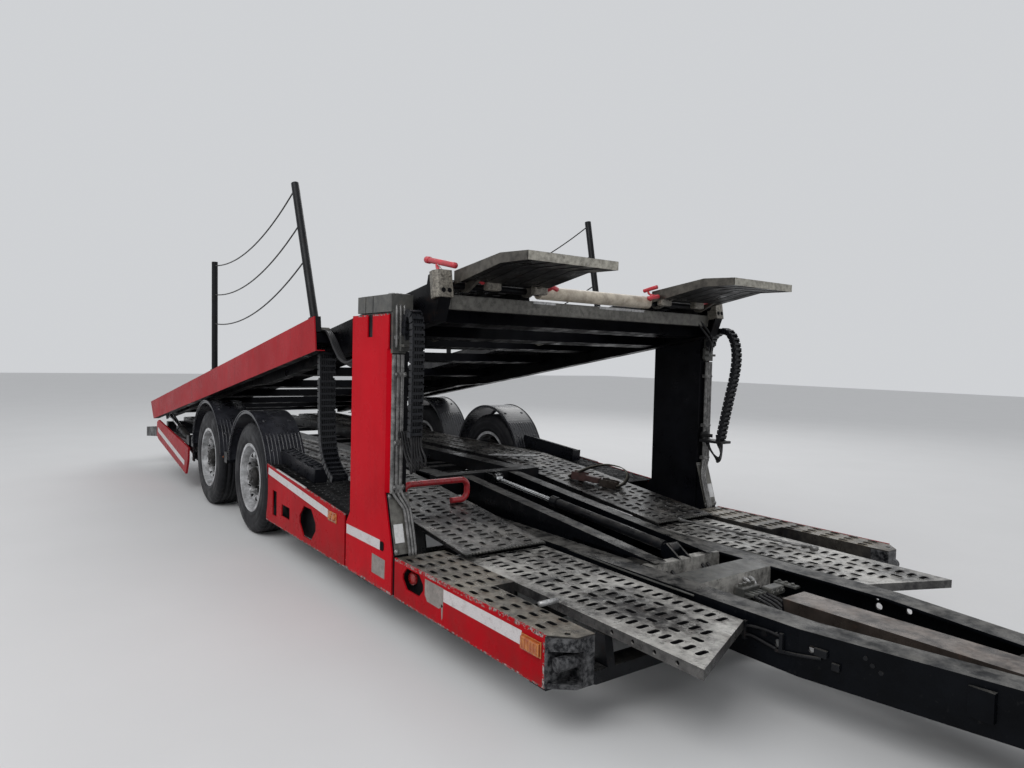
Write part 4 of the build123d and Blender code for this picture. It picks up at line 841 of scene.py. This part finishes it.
bm = bmesh.new()
block(bm, 2.982, 3.097, 1.275, 1.2905, 0.311, 0.364, 0.006)
for k in range(6):
    block(bm, 2.990 + k * 0.018, 2.998 + k * 0.018, 1.2885, 1.2917, 0.318, 0.357, 0.001)
for x in (1.082, 1.136):
    spun(bm, (x, 1.280, 0.455), [(0.001, 0.011), (0.012, 0.010), (0.020, 0.006), (0.022, 0.0)], 24)
spun(bm, (-1.500, 1.232, 0.520), [(0.001, 0.020), (0.022, 0.017), (0.036, 0.007), (0.039, 0.0)], 24)
add("marker_lamps", bm, "amber", "chassis", side="both", stands_for="side_lamps")
bm = bmesh.new()
block(bm, 2.977, 3.102, SKIRT_Y, 1.2795, 0.306, 0.369, 0.003)
block(bm, 1.044, 1.174, SKIRT_Y, 1.2795, 0.425, 0.485, 0.004)
block(bm, -1.542, -1.458, 1.226, 1.2335, 0.478, 0.562, 0.004)
block(bm, -1.515, -1.480, 1.160, 1.228, 0.41, 0.59, 0.004)
add("lamp_seats", bm, "amber", "chassis", side="both")

# posts: foot plates, blank plates, clamps and pipes, mast wear plates
FOOT_TOP, FOOT_LOW = Vector((1.8085, 0, 0.7076)), Vector((1.9005, 0, 0.4096))
FOOT_OUT = Vector((0.956, 0, 0.293))
plates("foot_plates", "grey_light", 1.150, 1.2655,
       [[(1.8035, 0.7060), FOOT_TOP.xz, FOOT_LOW.xz, (1.8955, 0.4080)]])
bm = bmesh.new()
a, b = Vector((1.8555, 0, 0.5560)) + FOOT_OUT * 0.0015, Vector((1.8835, 0, 0.4650)) + FOOT_OUT * 0.0015
prism(bm, [p.xz for p in (a, b, b + FOOT_OUT * 0.0012, a + FOOT_OUT * 0.0012)], 1.206, 1.258)
add("blank_plates", bm, "plate", "chassis", side="both")
bm = bmesh.new()
for y in (1.162, 1.256):
    for share in (0.05, 0.95):
        bolt(bm, FOOT_TOP.lerp(FOOT_LOW, share) + Vector((0, y, 0)), FOOT_OUT, 0.009, 0.007)
for y in (1.197, 1.243):
    for z in (0.742, 0.972, 1.322):
        bolt(bm, (1.837, y, z), (1, 0, 0), 0.007, 0.006)
for y, w in ((1.206, 1.156), (1.229, 1.173), (1.252, 1.190)):
    tube(bm, [(1.822, y, 0.745), (1.829, y - 0.012, 0.70), (1.848, w + 0.006, 0.63), (1.868, w, 0.56),
              (1.906, w, 0.44), (1.913, w, 0.405), (1.903, w - 0.02, 0.36), (1.88, 1.10, 0.33)], 0.0078, 8, 5)
add("post_pipes", bm, "pipe", "chassis", True, "both")
bm = bmesh.new()
for y in (1.200, 1.222, 1.244):
    tube(bm, [(1.8285, y, 1.46), (1.8305, y, 1.56), (1.826, y, 1.66), (1.79, y - 0.01, 1.728),
              (1.70, y - 0.02, 1.738)], 0.0075, 8, 5)
block(bm, 1.805, 1.8305, 1.196, 1.258, 1.50, 1.52, 0.003)
block(bm, 1.440, 1.826, 1.166, 1.262, 1.7305, 1.7345, 0.0015)
add("mast_wear", bm, "pipe", "lift_masts", True, "both")

# cable carriers and their hoses: each side's chain has its own arch
CHAIN_Y, MAST_END = 1.19, 1.50
ARCHES = {
    "left": [(1.974, 0.860), (1.996, 0.98), (2.0345, 1.16), (2.075, 1.34), (2.085, 1.475), (2.057, 1.585),
             (1.990, 1.640), (1.885, 1.600), (1.862, MAST_END)],
    "right": [(1.941, 1.010), (1.944, 1.10), (1.946, 1.25), (1.948, 1.42), (1.947, 1.52), (1.941, 1.585),
              (1.922, 1.630), (1.893, 1.637), (1.868, 1.610), (1.859, 1.54), (1.859, MAST_END)]}
for side, sign, up, out in (("left", 1, 0.0, 0.0), ("right", -1, 0.10, -0.02)):
    bm = bmesh.new()
    carrier(bm, [(x, sign * CHAIN_Y, z) for x, z in ARCHES[side]], 0.062, 0.034, 0.034, 4)
    obj = add("mast_carrier_" + side, bm, "chain", None)
    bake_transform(obj)
    bm = bmesh.new()
    for k in range(5):
        y = 1.160 + k * 0.013
        tube(bm, [(1.964 + out, y, 0.92 + up), (1.975 + out, y, 0.86 + up - k * 0.006),
                  (2.010 + out - k * 0.010, y - 0.006, 0.805 + up - k * 0.014),
                  (1.995 + out - k * 0.012, y - 0.012, 0.765 + up - k * 0.010),
                  (1.935 + out, y - 0.012, 0.80 + up - k * 0.012), (1.872, y - 0.004, 0.87 + up - k * 0.012),
                  (1.840, y, 0.93 + up)], 0.0058, 8, 6)
    block(bm, 1.834, 1.846, 1.150, 1.228, 0.895 + up, 0.925 + up, 0.003)
    block(bm, 1.842, 1.935, 1.150, 1.158, 0.898 + up, 0.922 + up, 0.002)
    if side == "left":
        block(bm, 1.838, 2.030, 1.130, 1.235, 0.862, 0.880, 0.003)
    add("carrier_hoses_" + side, bm, "rubber", "chassis", True, side)
bm = bmesh.new()
block(bm, 1.828, 1.850, 1.150, 1.232, 1.440, 1.520, 0.004)
block(bm, 1.845, 1.880, 1.152, 1.230, 1.462, 1.478, 0.003)
add_pair("carrier_foot_{}", bm, "grey", "lift_masts")

# the near side's chain from the platform up to the deck, in two pieces because it crosses two joints
DECK_CHAIN = [(x, -1.15, z) for x, z in (
    (0.918, 0.640), (0.830, 0.684), (0.745, 0.768), (0.700, 0.900), (0.684, 1.090), (0.678, 1.22),
    (0.677, 1.28), (0.676, 1.36), (0.672, 1.455))]
for part, route, bodies in (("low", DECK_CHAIN[:7], ("chassis", "lift_masts")),
                            ("high", DECK_CHAIN[6:], ("lift_masts", "upper_deck"))):
    bm = bmesh.new()
    carrier(bm, route, 0.100, 0.042, 0.040, 7)
    obj = add("deck_carrier_" + part + "_right", bm, "chain", None)
    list(bodies)
    route[0]
    route[-1]
    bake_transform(obj)

# CAD faces that look different from the rest of their node: other paint and wear, and painted shade where
# they lie under or behind other parts
def patch_faces(node, look, test):
    """Gives the faces of a CAD node that test(centre, normal) picks another look."""
    mesh = NODES[node].data
    mesh.materials.append(M[look])
    turn = NODES[node].matrix_world
    for poly in mesh.polygons:
        if test(turn @ poly.center, poly.normal):
            poly.material_index = len(mesh.materials) - 1


# cross ties of the drawbar: their limits in X, and a height just under their tops
REAR_TIE, FRONT_TIE = (2.646, 2.702), (2.854, 3.018)
TIE_TOP = 0.399


def is_tie(c, x0, x1):
    """Whether a face's centre lies on the tie between x0 and x1."""
    return x0 < c.x < x1 and abs(c.y) < 0.275 and 0.299 < c.z < 0.401


# painted shadow: the side platforms' parts behind x 1.6, under the deck, take the deep-shadow look
patch_faces("side_platforms", "dark_hole", lambda c, n: c.x < 1.6)
patch_faces("drawbar", "brown", lambda c, n: c.x > 3.33 and abs(c.y) < 0.0865)
patch_faces("drawbar", "tie", lambda c, n: (is_tie(c, *REAR_TIE) or is_tie(c, *FRONT_TIE)) and abs(n.x) > 0.5)
patch_faces("drawbar", "tie", lambda c, n: is_tie(c, *REAR_TIE) and c.z > TIE_TOP)
patch_faces("drawbar", "grey", lambda c, n: is_tie(c, *FRONT_TIE) and c.z > TIE_TOP)
# painted shade: the hinge tube's ends under the tips take the darkened underside look
patch_faces("tip_hinge_tube", "under", lambda c, n: abs(c.y) > 0.4405)
patch_faces("deck_cross_members", "grey_light", lambda c, n: 1.85 < c.x < 1.97 and c.z > 1.66)
# painted shade: the side panels' faces that point down or inward take the darkened underside look
patch_faces("deck_side_panels", "under", lambda c, n: n.z < -0.5 or n.y * c.y < -0.5 * abs(c.y))
# painted shade: the plain CAD disc's faces behind the hand holes take the deep-shadow look, seen through the
# holes
for axle, axle_x in WHEELS.items():
    for side in ("left", "right"):
        patch_faces(axle + "_" + side + "_rim", "dark_hole", lambda c, n: (
            0.146 < math.hypot(c.x - axle_x, c.z - WHEEL_Z) < 0.222 and abs(abs(c.y) - WHEEL_Y) < 0.04))

# slot collars of the front tracks and platforms, and dark linings down the slots as painted shade: growth and
# height of each loop
LIP = ((0.0082, 0.0002), (0.0050, 0.0034), (0.0034, 0.0032), (0.0034, 0.0002))
SLOT_SHADE = ((0.0035, 0.0028), (0.0031, 0.0007), (-0.0004, 0.0007), (-0.0006, -0.022), (0.0012, -0.022),
        (0.0034, -0.0002))
FRONT_TRACK_START, FRONT_TRACK_TOP, FRONT_TRACK_FALL = 2.060, 0.384, 0.0107
PLATFORM_TOP = 0.400


def collar(bm, place, x, y, slot, across, shape):
    """One closed ring round a slot at x and y. place(x, y, h) gives a point."""
    loops = [(slot_loop(slot[0] + grow / 2, slot[1], grow, across), h) for grow, h in shape]
    skin(bm, [[place(x + a, y + b, h) for a, b in loop] for loop, h in loops], wrap=True)


def on_front_track(x, y, h):
    """Point h above the front track's sloping top."""
    return Vector((x, y, FRONT_TRACK_TOP - FRONT_TRACK_FALL * (x - FRONT_TRACK_START) + h))


collars, shade_linings = bmesh.new(), bmesh.new()
for row in range(5):
    y = 0.509 + 0.085 * row
    end = 3.370 + (y - 0.432) / 0.518 * 0.218 - 0.048
    across = row % 2 == 0
    x0, step, slot = (2.092, SLOT_PITCH, ACROSS_SLOT) if across else (2.120, 2 * SLOT_PITCH, ALONG_SLOT)
    for k in range(int((end - x0) / step) + 1):
        collar(collars, on_front_track, x0 + k * step, y, slot, across, LIP)
        collar(shade_linings, on_front_track, x0 + k * step, y, slot, across, SLOT_SHADE)
# painted shade: dark rings deep in the holes along the front track's edges
for x in (3.136, 3.249, 3.360, 3.470):
    for y in (0.4385, 0.9435):
        spun(shade_linings, on_front_track(x, y, -0.020), box(0.0005, 0.0125, -0.0004, 0.0004), 16)
add_pair("front_track_collars_{}", collars, "track_front", "front_track_{}")
add_pair("front_track_slot_walls_{}", shade_linings, "dark_hole", "front_track_{}")
collars, shade_linings = bmesh.new(), bmesh.new()
for y, count in ((1.235, 10), (1.178, 10), (1.121, 10), (1.064, 5), (1.007, 5)):
    for k in range(count):
        for bm, shape in ((collars, LIP), (shade_linings, SLOT_SHADE)):
            collar(bm, lambda x, y, h: (x, y, PLATFORM_TOP + h), 1.996 + 0.116 * k, y, PLATFORM_SLOT, False,
                   shape)
add("platform_collars", collars, "track_side", "chassis", side="both")
add("platform_slot_walls", shade_linings, "dark_hole", "chassis", side="both")

# sloping rear platforms: slotted sheet, step box, and dark sheets behind the windows as painted shade
REAR_LINE = [(-0.080, 0.6026), (1.282, 0.4974)]
REAR_ROWS = [(1.020, True), (1.075, False), (1.130, True), (1.185, False), (1.235, True)]
bm = bmesh.new()
place, marks = line_place(REAR_LINE)
slotted_plate(bm, place, *marks, REAR_ROWS, 0.988, 1.265, thick=0.0035)
add("rear_platform_plates", bm, "track_rear", "chassis", side="both")
bm = bmesh.new()
place, marks = line_place([(-0.14, 0.612), (0.54, 0.559)])
for s0, s1, y0, y1, top in ((0.0, 0.682, 1.088, 1.165, 0.078), (0.0, 0.682, 1.160, 1.168, 0.086),
                            (0.0, 0.682, 1.084, 1.090, 0.104), (-0.004, 0.006, 1.084, 1.168, 0.09),
                            (0.676, 0.686, 1.084, 1.168, 0.09)):
    prism(bm, [place(s, 0, h).xz for s, h in box(s0, s1, 0.0, top)], y0, y1)
slotted_plate(bm, lambda s, y, h: place(s, y, 0.081 + h + (1.165 - y) * 0.25), 0.01, 0.672,
              [(1.108, True), (1.146, False)], 1.091, 1.164, thick=0.003)
for k in range(5):
    x, z = -0.1 + k * 0.15, 0.60 - k * 0.0116
    block(bm, x, x + 0.012, 1.165, 1.1705, z, z + 0.065, 0.002)
add("step_boxes", bm, "step", "chassis", side="both")
# painted shade: dark sheets behind the windows in the deep-shadow look
plates("window_shade_sheets", "dark_hole", 1.222, 1.227, [
    [(-0.02, 0.215), (1.280, 0.215), (1.280, 0.485), (-0.02, 0.580)], box(1.925, 3.085, 0.215, 0.372)])
bm = bmesh.new()
spun(bm, (2.030, 1.236, 0.322), [(0.001, 0.012), (0.026, 0.010), (0.034, 0.003), (0.034, -0.010)], 28)
add("window_reflectors", bm, "red_lens", "chassis", True, "both")

# wheels: a dark face behind the hand holes, the drum's black paint darkened as painted shade, and a pressed
# dish with ten of them in front of the plain CAD disc
DRUM_FACE = [(0.135, -0.004), (0.208, -0.022), (0.208, -0.030), (0.135, -0.012), (0.135, -0.004)]
DISH = ((0.143, 0.026), (0.1475, 0.062), (0.153, 0.080), (0.163, 0.089), (0.182, 0.089), (0.196, 0.081),
        (0.208, 0.062), (0.2330, 0.012))
HOLE_CIRCLE, HOLE_R, CELL_MIDDLE, CELL_HALF, CELL_ANGLE = 0.177, 0.026, 0.188, 0.045, math.radians(18)
DISH_SIDES = 24


def dish_depth(r):
    """How far out of the wheel's middle the pressed dish lies at radius r."""
    for (r0, y0), (r1, y1) in zip(DISH, DISH[1:]):
        if r <= r1:
            return y0 + (y1 - y0) * max(0.0, r - r0) / (r1 - r0)
    return DISH[-1][1]


def dish_ring(x, middle, t):
    """Ring of points from a round hand hole at t = 0 to the edge of its cell at t = 1."""
    ring = []
    for a in turns(DISH_SIDES):
        u, v = math.cos(a), math.sin(a)
        square = 1 / max(abs(u), abs(v))
        r = (1 - t) * (HOLE_CIRCLE + HOLE_R * u) + t * (CELL_MIDDLE + CELL_HALF * u * square)
        w = middle + (1 - t) * HOLE_R * v / HOLE_CIRCLE + t * CELL_ANGLE * v * square
        y = WHEEL_Y + dish_depth(r) - (0.004 if t == 0 else 0)
        ring.append((x + r * math.cos(w), y, WHEEL_Z + r * math.sin(w)))
    return ring


for axle, x in WHEELS.items():
    wheel = axle + "_{}_wheel"
    bm = bmesh.new()
    spun(bm, (x, WHEEL_Y, WHEEL_Z), DRUM_FACE)
    add_pair(axle + "_{}_drum_face", bm, "dark_hole", wheel)
    bm = bmesh.new()
    for middle in turns(10):
        skin(bm, [dish_ring(x, middle, t) for t in (0.0, 0.12, 0.3, 0.5, 0.7, 0.86, 1.0)])
    bmesh.ops.remove_doubles(bm, verts=bm.verts, dist=0.0002)
    bmesh.ops.recalc_face_normals(bm, faces=bm.faces)
    bmesh.ops.solidify(bm, geom=bm.faces, thickness=0.007)
    add_pair(axle + "_{}_dish", bm, "rim", wheel, True)

# front end of the upper deck
bm = bmesh.new()
outline = [(0.305, 1.034), (0.305, 1.120), (0.312, 1.127), (0.340, 1.129), (0.360, 1.122), (0.3735, 1.112),
           (0.3775, 1.098), (0.3775, 1.034)]
skin(bm, [[on_deck(u, y, w) for u, y in outline] for w in (-0.030, 0.1085)], caps=(0, -1))
for y in (1.052, 1.090):
    bolt(bm, on_deck(0.3775, y, 0.082), (0.987, 0, 0.161), 0.008, 0.006)
add("girder_caps", bm, "silver", "upper_deck", side="both")
# painted shade: dark discs in the cap's two holes, in the deep-shadow look
bm = bmesh.new()
for y in (1.090, 1.055):
    rim = [on_deck(0.3779, y + 0.0125 * math.cos(a), 0.004 + 0.0125 * math.sin(a)) for a in turns(16)]
    skin(bm, [rim, [p + Vector((0.0012, 0, 0)) for p in rim]], caps=(0, -1))
add("cap_holes", bm, "dark_hole", "upper_deck", side="both")

bm = bmesh.new()
block(bm, 1.902, 1.956, -1.0, 1.0, 1.7362, 1.7384, 0.0008)
block(bm, 1.958, 1.9600, -1.0, 1.0, 1.668, 1.733, 0.0008)
add("crossbar_wear", bm, "grey_light", "upper_deck")
bm = bmesh.new()
for y0, y1 in ((-0.48, -0.30), (0.02, 0.42)):
    block(bm, 1.9035, 1.9615, y0, y1, 1.7355, 1.7396, 0.0012)
    block(bm, 1.956, 1.9618, y0 + 0.01, y1 - 0.01, 1.724, 1.739, 0.001)
add("crossbar_scrapes", bm, "bright", "upper_deck")
shine, gussets = bmesh.new(), bmesh.new()
for u0, u1 in ((-0.93, -0.68), (-0.45, 0.09)):
    deck_prism(shine, box(u0, u1, 0.0095, 0.0135), 0.4485, 0.4575)
    deck_prism(gussets, [(u0, 0.010), (u1, 0.010), (u1 - 0.05, -0.04), (u0 + 0.10, -0.04)], 0.452, 0.456)
add("flange_shine", shine, "bright", "upper_deck", side="both")
add("flange_gussets", gussets, "tip_edge", "upper_deck", side="both")

# T handles of the tips: the right one lies on the deck with a wire clip
bm = bmesh.new()
tube(bm, [(1.942, 0.426, 1.861), (1.99, 0.428, 1.871), (2.045, 0.430, 1.880)], 0.0125, 12, 5)
tube(bm, [(1.972, 0.427, 1.864), (1.980, 0.430, 1.842), (2.000, 0.440, 1.832), (2.012, 0.454, 1.830)],
     0.007, 8, 5)
add("tip_handle_left", bm, "red_handle", "deck_tip_left", True)
bm = bmesh.new()
y = -1.026
tube(bm, [(1.742, y, 1.934), (1.755, y, 1.932), (1.90, y, 1.904), (2.030, y, 1.878)], 0.0155, 12, 5)
tube(bm, [(1.738, y, 1.9345), (1.772, y, 1.9285)], 0.0190, 12, 2)
tube(bm, [(1.850, y, 1.913), (1.862, -1.032, 1.886), (1.900, -1.046, 1.862), (1.945, -1.056, 1.838)],
     0.0105, 10, 5)
add("tip_handle_right", bm, "red_handle", "upper_deck", True)
bm = bmesh.new()
CLIP = ((1.842, 1.925), (1.885, 1.888), (1.945, 1.852), (1.985, 1.838), (1.990, 1.822), (1.965, 1.816),
        (1.948, 1.826))
tube(bm, [(x, -1.036, z) for x, z in CLIP], 0.0028, 6, 6)
add("handle_clip", bm, "bright", "upper_deck", True)

# hoses at the deck's front end and over its foot, a cable down the far post
bm = bmesh.new()
for k in range(4):
    y = -1.205 + k * 0.016
    tube(bm, [(0.700 + k * 0.012, y, 1.560), (0.790, y, 1.560 - k * 0.008), (0.860, y, 1.515 - k * 0.010),
              (0.925, y, 1.455 - k * 0.010), (1.030, y, 1.385 - k * 0.009), (1.140, y, 1.372 - k * 0.006),
              (1.250, y + 0.01, 1.410), (1.372, y + 0.03, 1.50)], 0.0085, 8, 7)
obj = add("deck_hoses", bm, "rubber", None, True)
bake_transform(obj)
bm = bmesh.new()
block(bm, 0.655, 0.725, -1.225, -1.150, 1.500, 1.585, 0.006)
block(bm, 0.640, 0.700, -1.262, -1.228, 1.510, 1.560, 0.004)
for x in (0.662, 0.686, 0.710):
    bolt(bm, (x, -1.225, 1.562), (0, -1, 0), 0.007, 0.006)
add("deck_hose_clamp", bm, "grey_light", "upper_deck")
bm = bmesh.new()
for y in (-1.13, -1.144, -1.158):
    tube(bm, [(0.66, y, 1.445), (0.64, y, 1.50), (0.66, y, 1.555), (0.70, y, 1.56)], 0.007, 8, 6)
add("deck_foot_hoses", bm, "rubber", "upper_deck", True)
bm = bmesh.new()
tube(bm, [(1.952, 0.955, 1.70), (1.968, 1.02, 1.64), (1.966, 1.075, 1.58), (1.930, 1.110, 1.52)], 0.008, 8, 7)
tube(bm, [(1.952, 0.93, 1.685), (1.975, 1.00, 1.61), (1.973, 1.06, 1.545), (1.930, 1.105, 1.49)],
     0.0065, 8, 7)
obj = add("far_post_cable", bm, "rubber", None, True)
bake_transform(obj)

# drawbar: valve block, hoses, guide rails and small fittings
HOSES_Y = (-0.045, -0.013, 0.019, 0.051)
bm = bmesh.new()
block(bm, 3.040, 3.100, -0.060, 0.070, 0.305, 0.362, 0.006)
block(bm, 3.110, 3.165, 0.060, 0.170, 0.318, 0.358, 0.006)
block(bm, 3.100, 3.220, 0.175, 0.215, 0.350, 0.362, 0.003)
for y in HOSES_Y:
    tube(bm, [(3.070, y, 0.355), (3.070, y, 0.376)], 0.010, 10, 2)
    tube(bm, [(3.095, y, 0.335), (3.150, y, 0.335)], 0.0085, 10, 2)
for k in range(3):
    bolt(bm, (3.165, 0.078 + k * 0.036, 0.338), (1, 0, 0), 0.011, 0.010)
    bolt(bm, (3.120 + 0.036 * k, 0.195, 0.362), (0, 0, 1), 0.009, 0.008)
add("valve_block", bm, "grey", "drawbar")
bm = bmesh.new()
for y in HOSES_Y:
    tube(bm, [(3.148, y, 0.335), (3.22, y, 0.322), (3.30, y * 0.8, 0.300), (3.45, y * 0.8 + 0.10, 0.292),
              (3.8, y * 0.5 + 0.115, 0.290), (4.3, y * 0.4 + 0.112, 0.290), (4.72, y * 0.2 + 0.11, 0.292)],
         0.007, 8, 6)
for y in (-0.15, -0.11, 0.13, 0.17):
    tube(bm, [(2.702, y, 0.352), (2.745, y * 0.98, 0.330), (2.80, y * 0.9, 0.322), (2.856, y * 0.85, 0.330)],
         0.009)
add("drawbar_hoses", bm, "rubber", "drawbar", True)
bm = bmesh.new()
for y in (0.035, 0.075):
    tube(bm, [(3.016, y + 0.02, 0.372), (3.045, y + 0.015, 0.366), (3.075, y, 0.340),
              (3.105, y - 0.01, 0.315), (3.14, y - 0.02, 0.306)], 0.0085, 10, 7)
add("steel_hoses", bm, "bright", "drawbar", True)
bm = bmesh.new()
tube(bm, [(3.345, 0.410, 0.338), (3.40, 0.4075, 0.349), (3.47, 0.4085, 0.353), (3.535, 0.4075, 0.348)],
     0.0058, 8, 7)
tube(bm, [(3.335, 0.410, 0.303), (3.39, 0.4075, 0.309), (3.45, 0.4085, 0.302), (3.508, 0.4075, 0.293)],
     0.0055, 8, 7)
add("beam_hoses", bm, "rubber", "drawbar", True, "both")
bm = bmesh.new()
tube(bm, [(3.505, 0.408, 0.286), (3.600, 0.408, 0.300), (3.690, 0.392, 0.313)], 0.0065, 8, 4)
block(bm, 3.660, 3.712, 0.381, 0.398, 0.318, 0.348, 0.003)
block(bm, 3.726, 3.758, 0.374, 0.388, 0.282, 0.310, 0.003)
for place in ((3.839, 0.353, 0.360), (3.863, 0.348, 0.340), (3.891, 0.342, 0.322)):
    bolt(bm, place, (0.212, 0.977, 0), 0.0096, 0.007)
for x in (3.36, 3.53):
    block(bm, x - 0.008, x + 0.008, 0.3995, 0.4155, 0.285, 0.362, 0.002)
add("beam_fittings", bm, "black", "drawbar", side="both")
bm = bmesh.new()
tube(bm, [(2.011, 0.384, 0.3955), (2.656, 0.418, 0.3955), (3.104, 0.424, 0.3955)], 0.0042, 6, 4)
add("track_guides", bm, "grey", "drawbar", True, "both")

# on the far lower track: a strap in its ratchet, a ladder grate, a lever rod
STRAP_PATH = [(1.075, 0.585, 0.5485), (1.13, 0.60, 0.575), (1.24, 0.64, 0.632), (1.34, 0.675, 0.662),
              (1.41, 0.70, 0.668), (1.47, 0.755, 0.648), (1.492, 0.78, 0.600),
              (1.468, 0.775, 0.545), (1.432, 0.755, 0.516), (1.405, 0.742, 0.508)]
line = smooth_line(STRAP_PATH, 6)
across = Vector((-0.42, 0.86, -0.28)).normalized()
for name, look, w0, w1, thick in (("edge", "web", -0.010, 0.012, 0.0060),
                                  ("face", "web_dark", 0.012, 0.055, 0.0030)):
    rings = []
    for i, q in enumerate(line):
        n = (line[min(i + 1, len(line) - 1)] - line[max(i - 1, 0)]).cross(across).normalized()
        rings.append([q + across * w + n * h for w, h in box(w0, w1, -thick / 2, thick / 2)])
    bm = bmesh.new()
    skin(bm, rings, caps=(0, -1))
    add("strap_" + name, bm, look, "chassis")
axis = Vector((0.89, 0.445, -0.10)).normalized()
side_way = Vector((-0.447, 0.894, 0)).normalized()
turn = Matrix((axis, side_way, axis.cross(side_way))).transposed().to_4x4()
turn.translation = (1.215, 0.645, 0.549)
bm = bmesh.new()
block(bm, -0.105, 0.105, -0.030, 0.030, -0.020, 0.022, 0.004, turn)
for y in (-0.034, 0.029):
    block(bm, -0.112, 0.0, y, y + 0.005, -0.024, 0.034, 0.002, turn)
add("ratchet_body", bm, "ratchet", "chassis")
turn.translation = (1.372, 0.715, 0.528)
bm = bmesh.new()
for y in (-0.036, 0.031):
    block(bm, -0.06, 0.07, y, y + 0.005, -0.028, 0.026, 0.003, turn)
for k in range(5):
    x = k * 0.022
    block(bm, -0.05 + x, -0.04 + x, -0.031, 0.031, -0.018, 0.010 + 0.005 * (k % 2), 0.002, turn)
tube(bm, [(1.425, 0.700, 0.523), (1.392, 0.765, 0.523)], 0.016, 12, 2)
add("ratchet_frame", bm, "brown", "chassis")
bm = bmesh.new()
for y in (0.40, 0.47):
    tube(bm, [(0.29, y, 0.6205), (0.53, y + 0.27, 0.6205)], 0.007, 8, 2)
for k in range(9):
    x, y = 0.29 + 0.24 * (k + 0.5) / 9, 0.40 + 0.27 * (k + 0.5) / 9
    tube(bm, [(x, y, 0.6205), (x, y + 0.07, 0.6205)], 0.005, 6, 2)
add("ladder_grate", bm, "bright", "chassis", True)
bm = bmesh.new()
tube(bm, [(2.105, 0.655, 0.4095), (2.50, 0.735, 0.4005), (2.915, 0.815, 0.3945)], 0.008, 8, 3)
tube(bm, [(2.105, 0.655, 0.4095), (2.085, 0.652, 0.414)], 0.012, 10, 2)
tube(bm, [(2.905, 0.813, 0.3945), (2.945, 0.820, 0.394)], 0.014, 10, 2)
add("lever_rod", bm, "pipe", "front_track_left", True)
bm = bmesh.new()
tube(bm, [(2.857, -1.00, 0.408), (2.857, -1.096, 0.408)], 0.012, 10, 2)
add("platform_stub", bm, "bright", "chassis", True)

# drawbar ram: bellows hose along the barrel
bm = bmesh.new()
line = evened([(1.545, 0.047, 0.511), (1.64, 0.048, 0.503), (1.78, 0.049, 0.492), (2.02, 0.046, 0.473)],
              0.012)
round_along(bm, line, [0.011 if i % 2 else 0.008 for i in range(len(line))], 8)
add("ram_hose", bm, "grey", "drawbar_ram_barrel", True)

# floor and light
FLOOR_PALE = 0.66
bm = bmesh.new()
bmesh.ops.create_grid(bm, x_segments=2, y_segments=2, size=40)
floor_mesh = bpy.data.meshes.new("floor")
bm.to_mesh(floor_mesh)
bm.free()
floor = bpy.data.objects.new("floor", floor_mesh)
SCENE.collection.objects.link(floor)
fm = Mat("floor_pale", rough=0.9)
grain = fm.ramp(fm.noise(1.2, 6, 0.6), (0.3, (FLOOR_PALE * 0.97,) * 3), (0.7, (FLOOR_PALE,) * 3))
floor_mesh.materials.append(fm.done(grain, 0.9))

world = bpy.data.worlds.new("studio")
SCENE.world = world
world.use_nodes = True
bg = world.node_tree.nodes["Background"]
bg.inputs["Color"].default_value = (0.95, 0.97, 1.0, 1)
bg.inputs["Strength"].default_value = 0.66


def area(name, place, target, size, power):
    light = bpy.data.lights.new(name, "AREA")
    light.shape = "RECTANGLE"
    light.size, light.size_y = size
    light.energy = power
    obj = bpy.data.objects.new(name, light)
    SCENE.collection.objects.link(obj)
    obj.location = place
    obj.rotation_euler = (Vector(target) - Vector(place)).to_track_quat("-Z", "Y").to_euler()


area("key_light", (4, -7, 8), (0, 0, 0.8), (8, 6), 430)
area("back_light", (-5, 7, 8), (-1, 0, 0.8), (9, 6), 300)
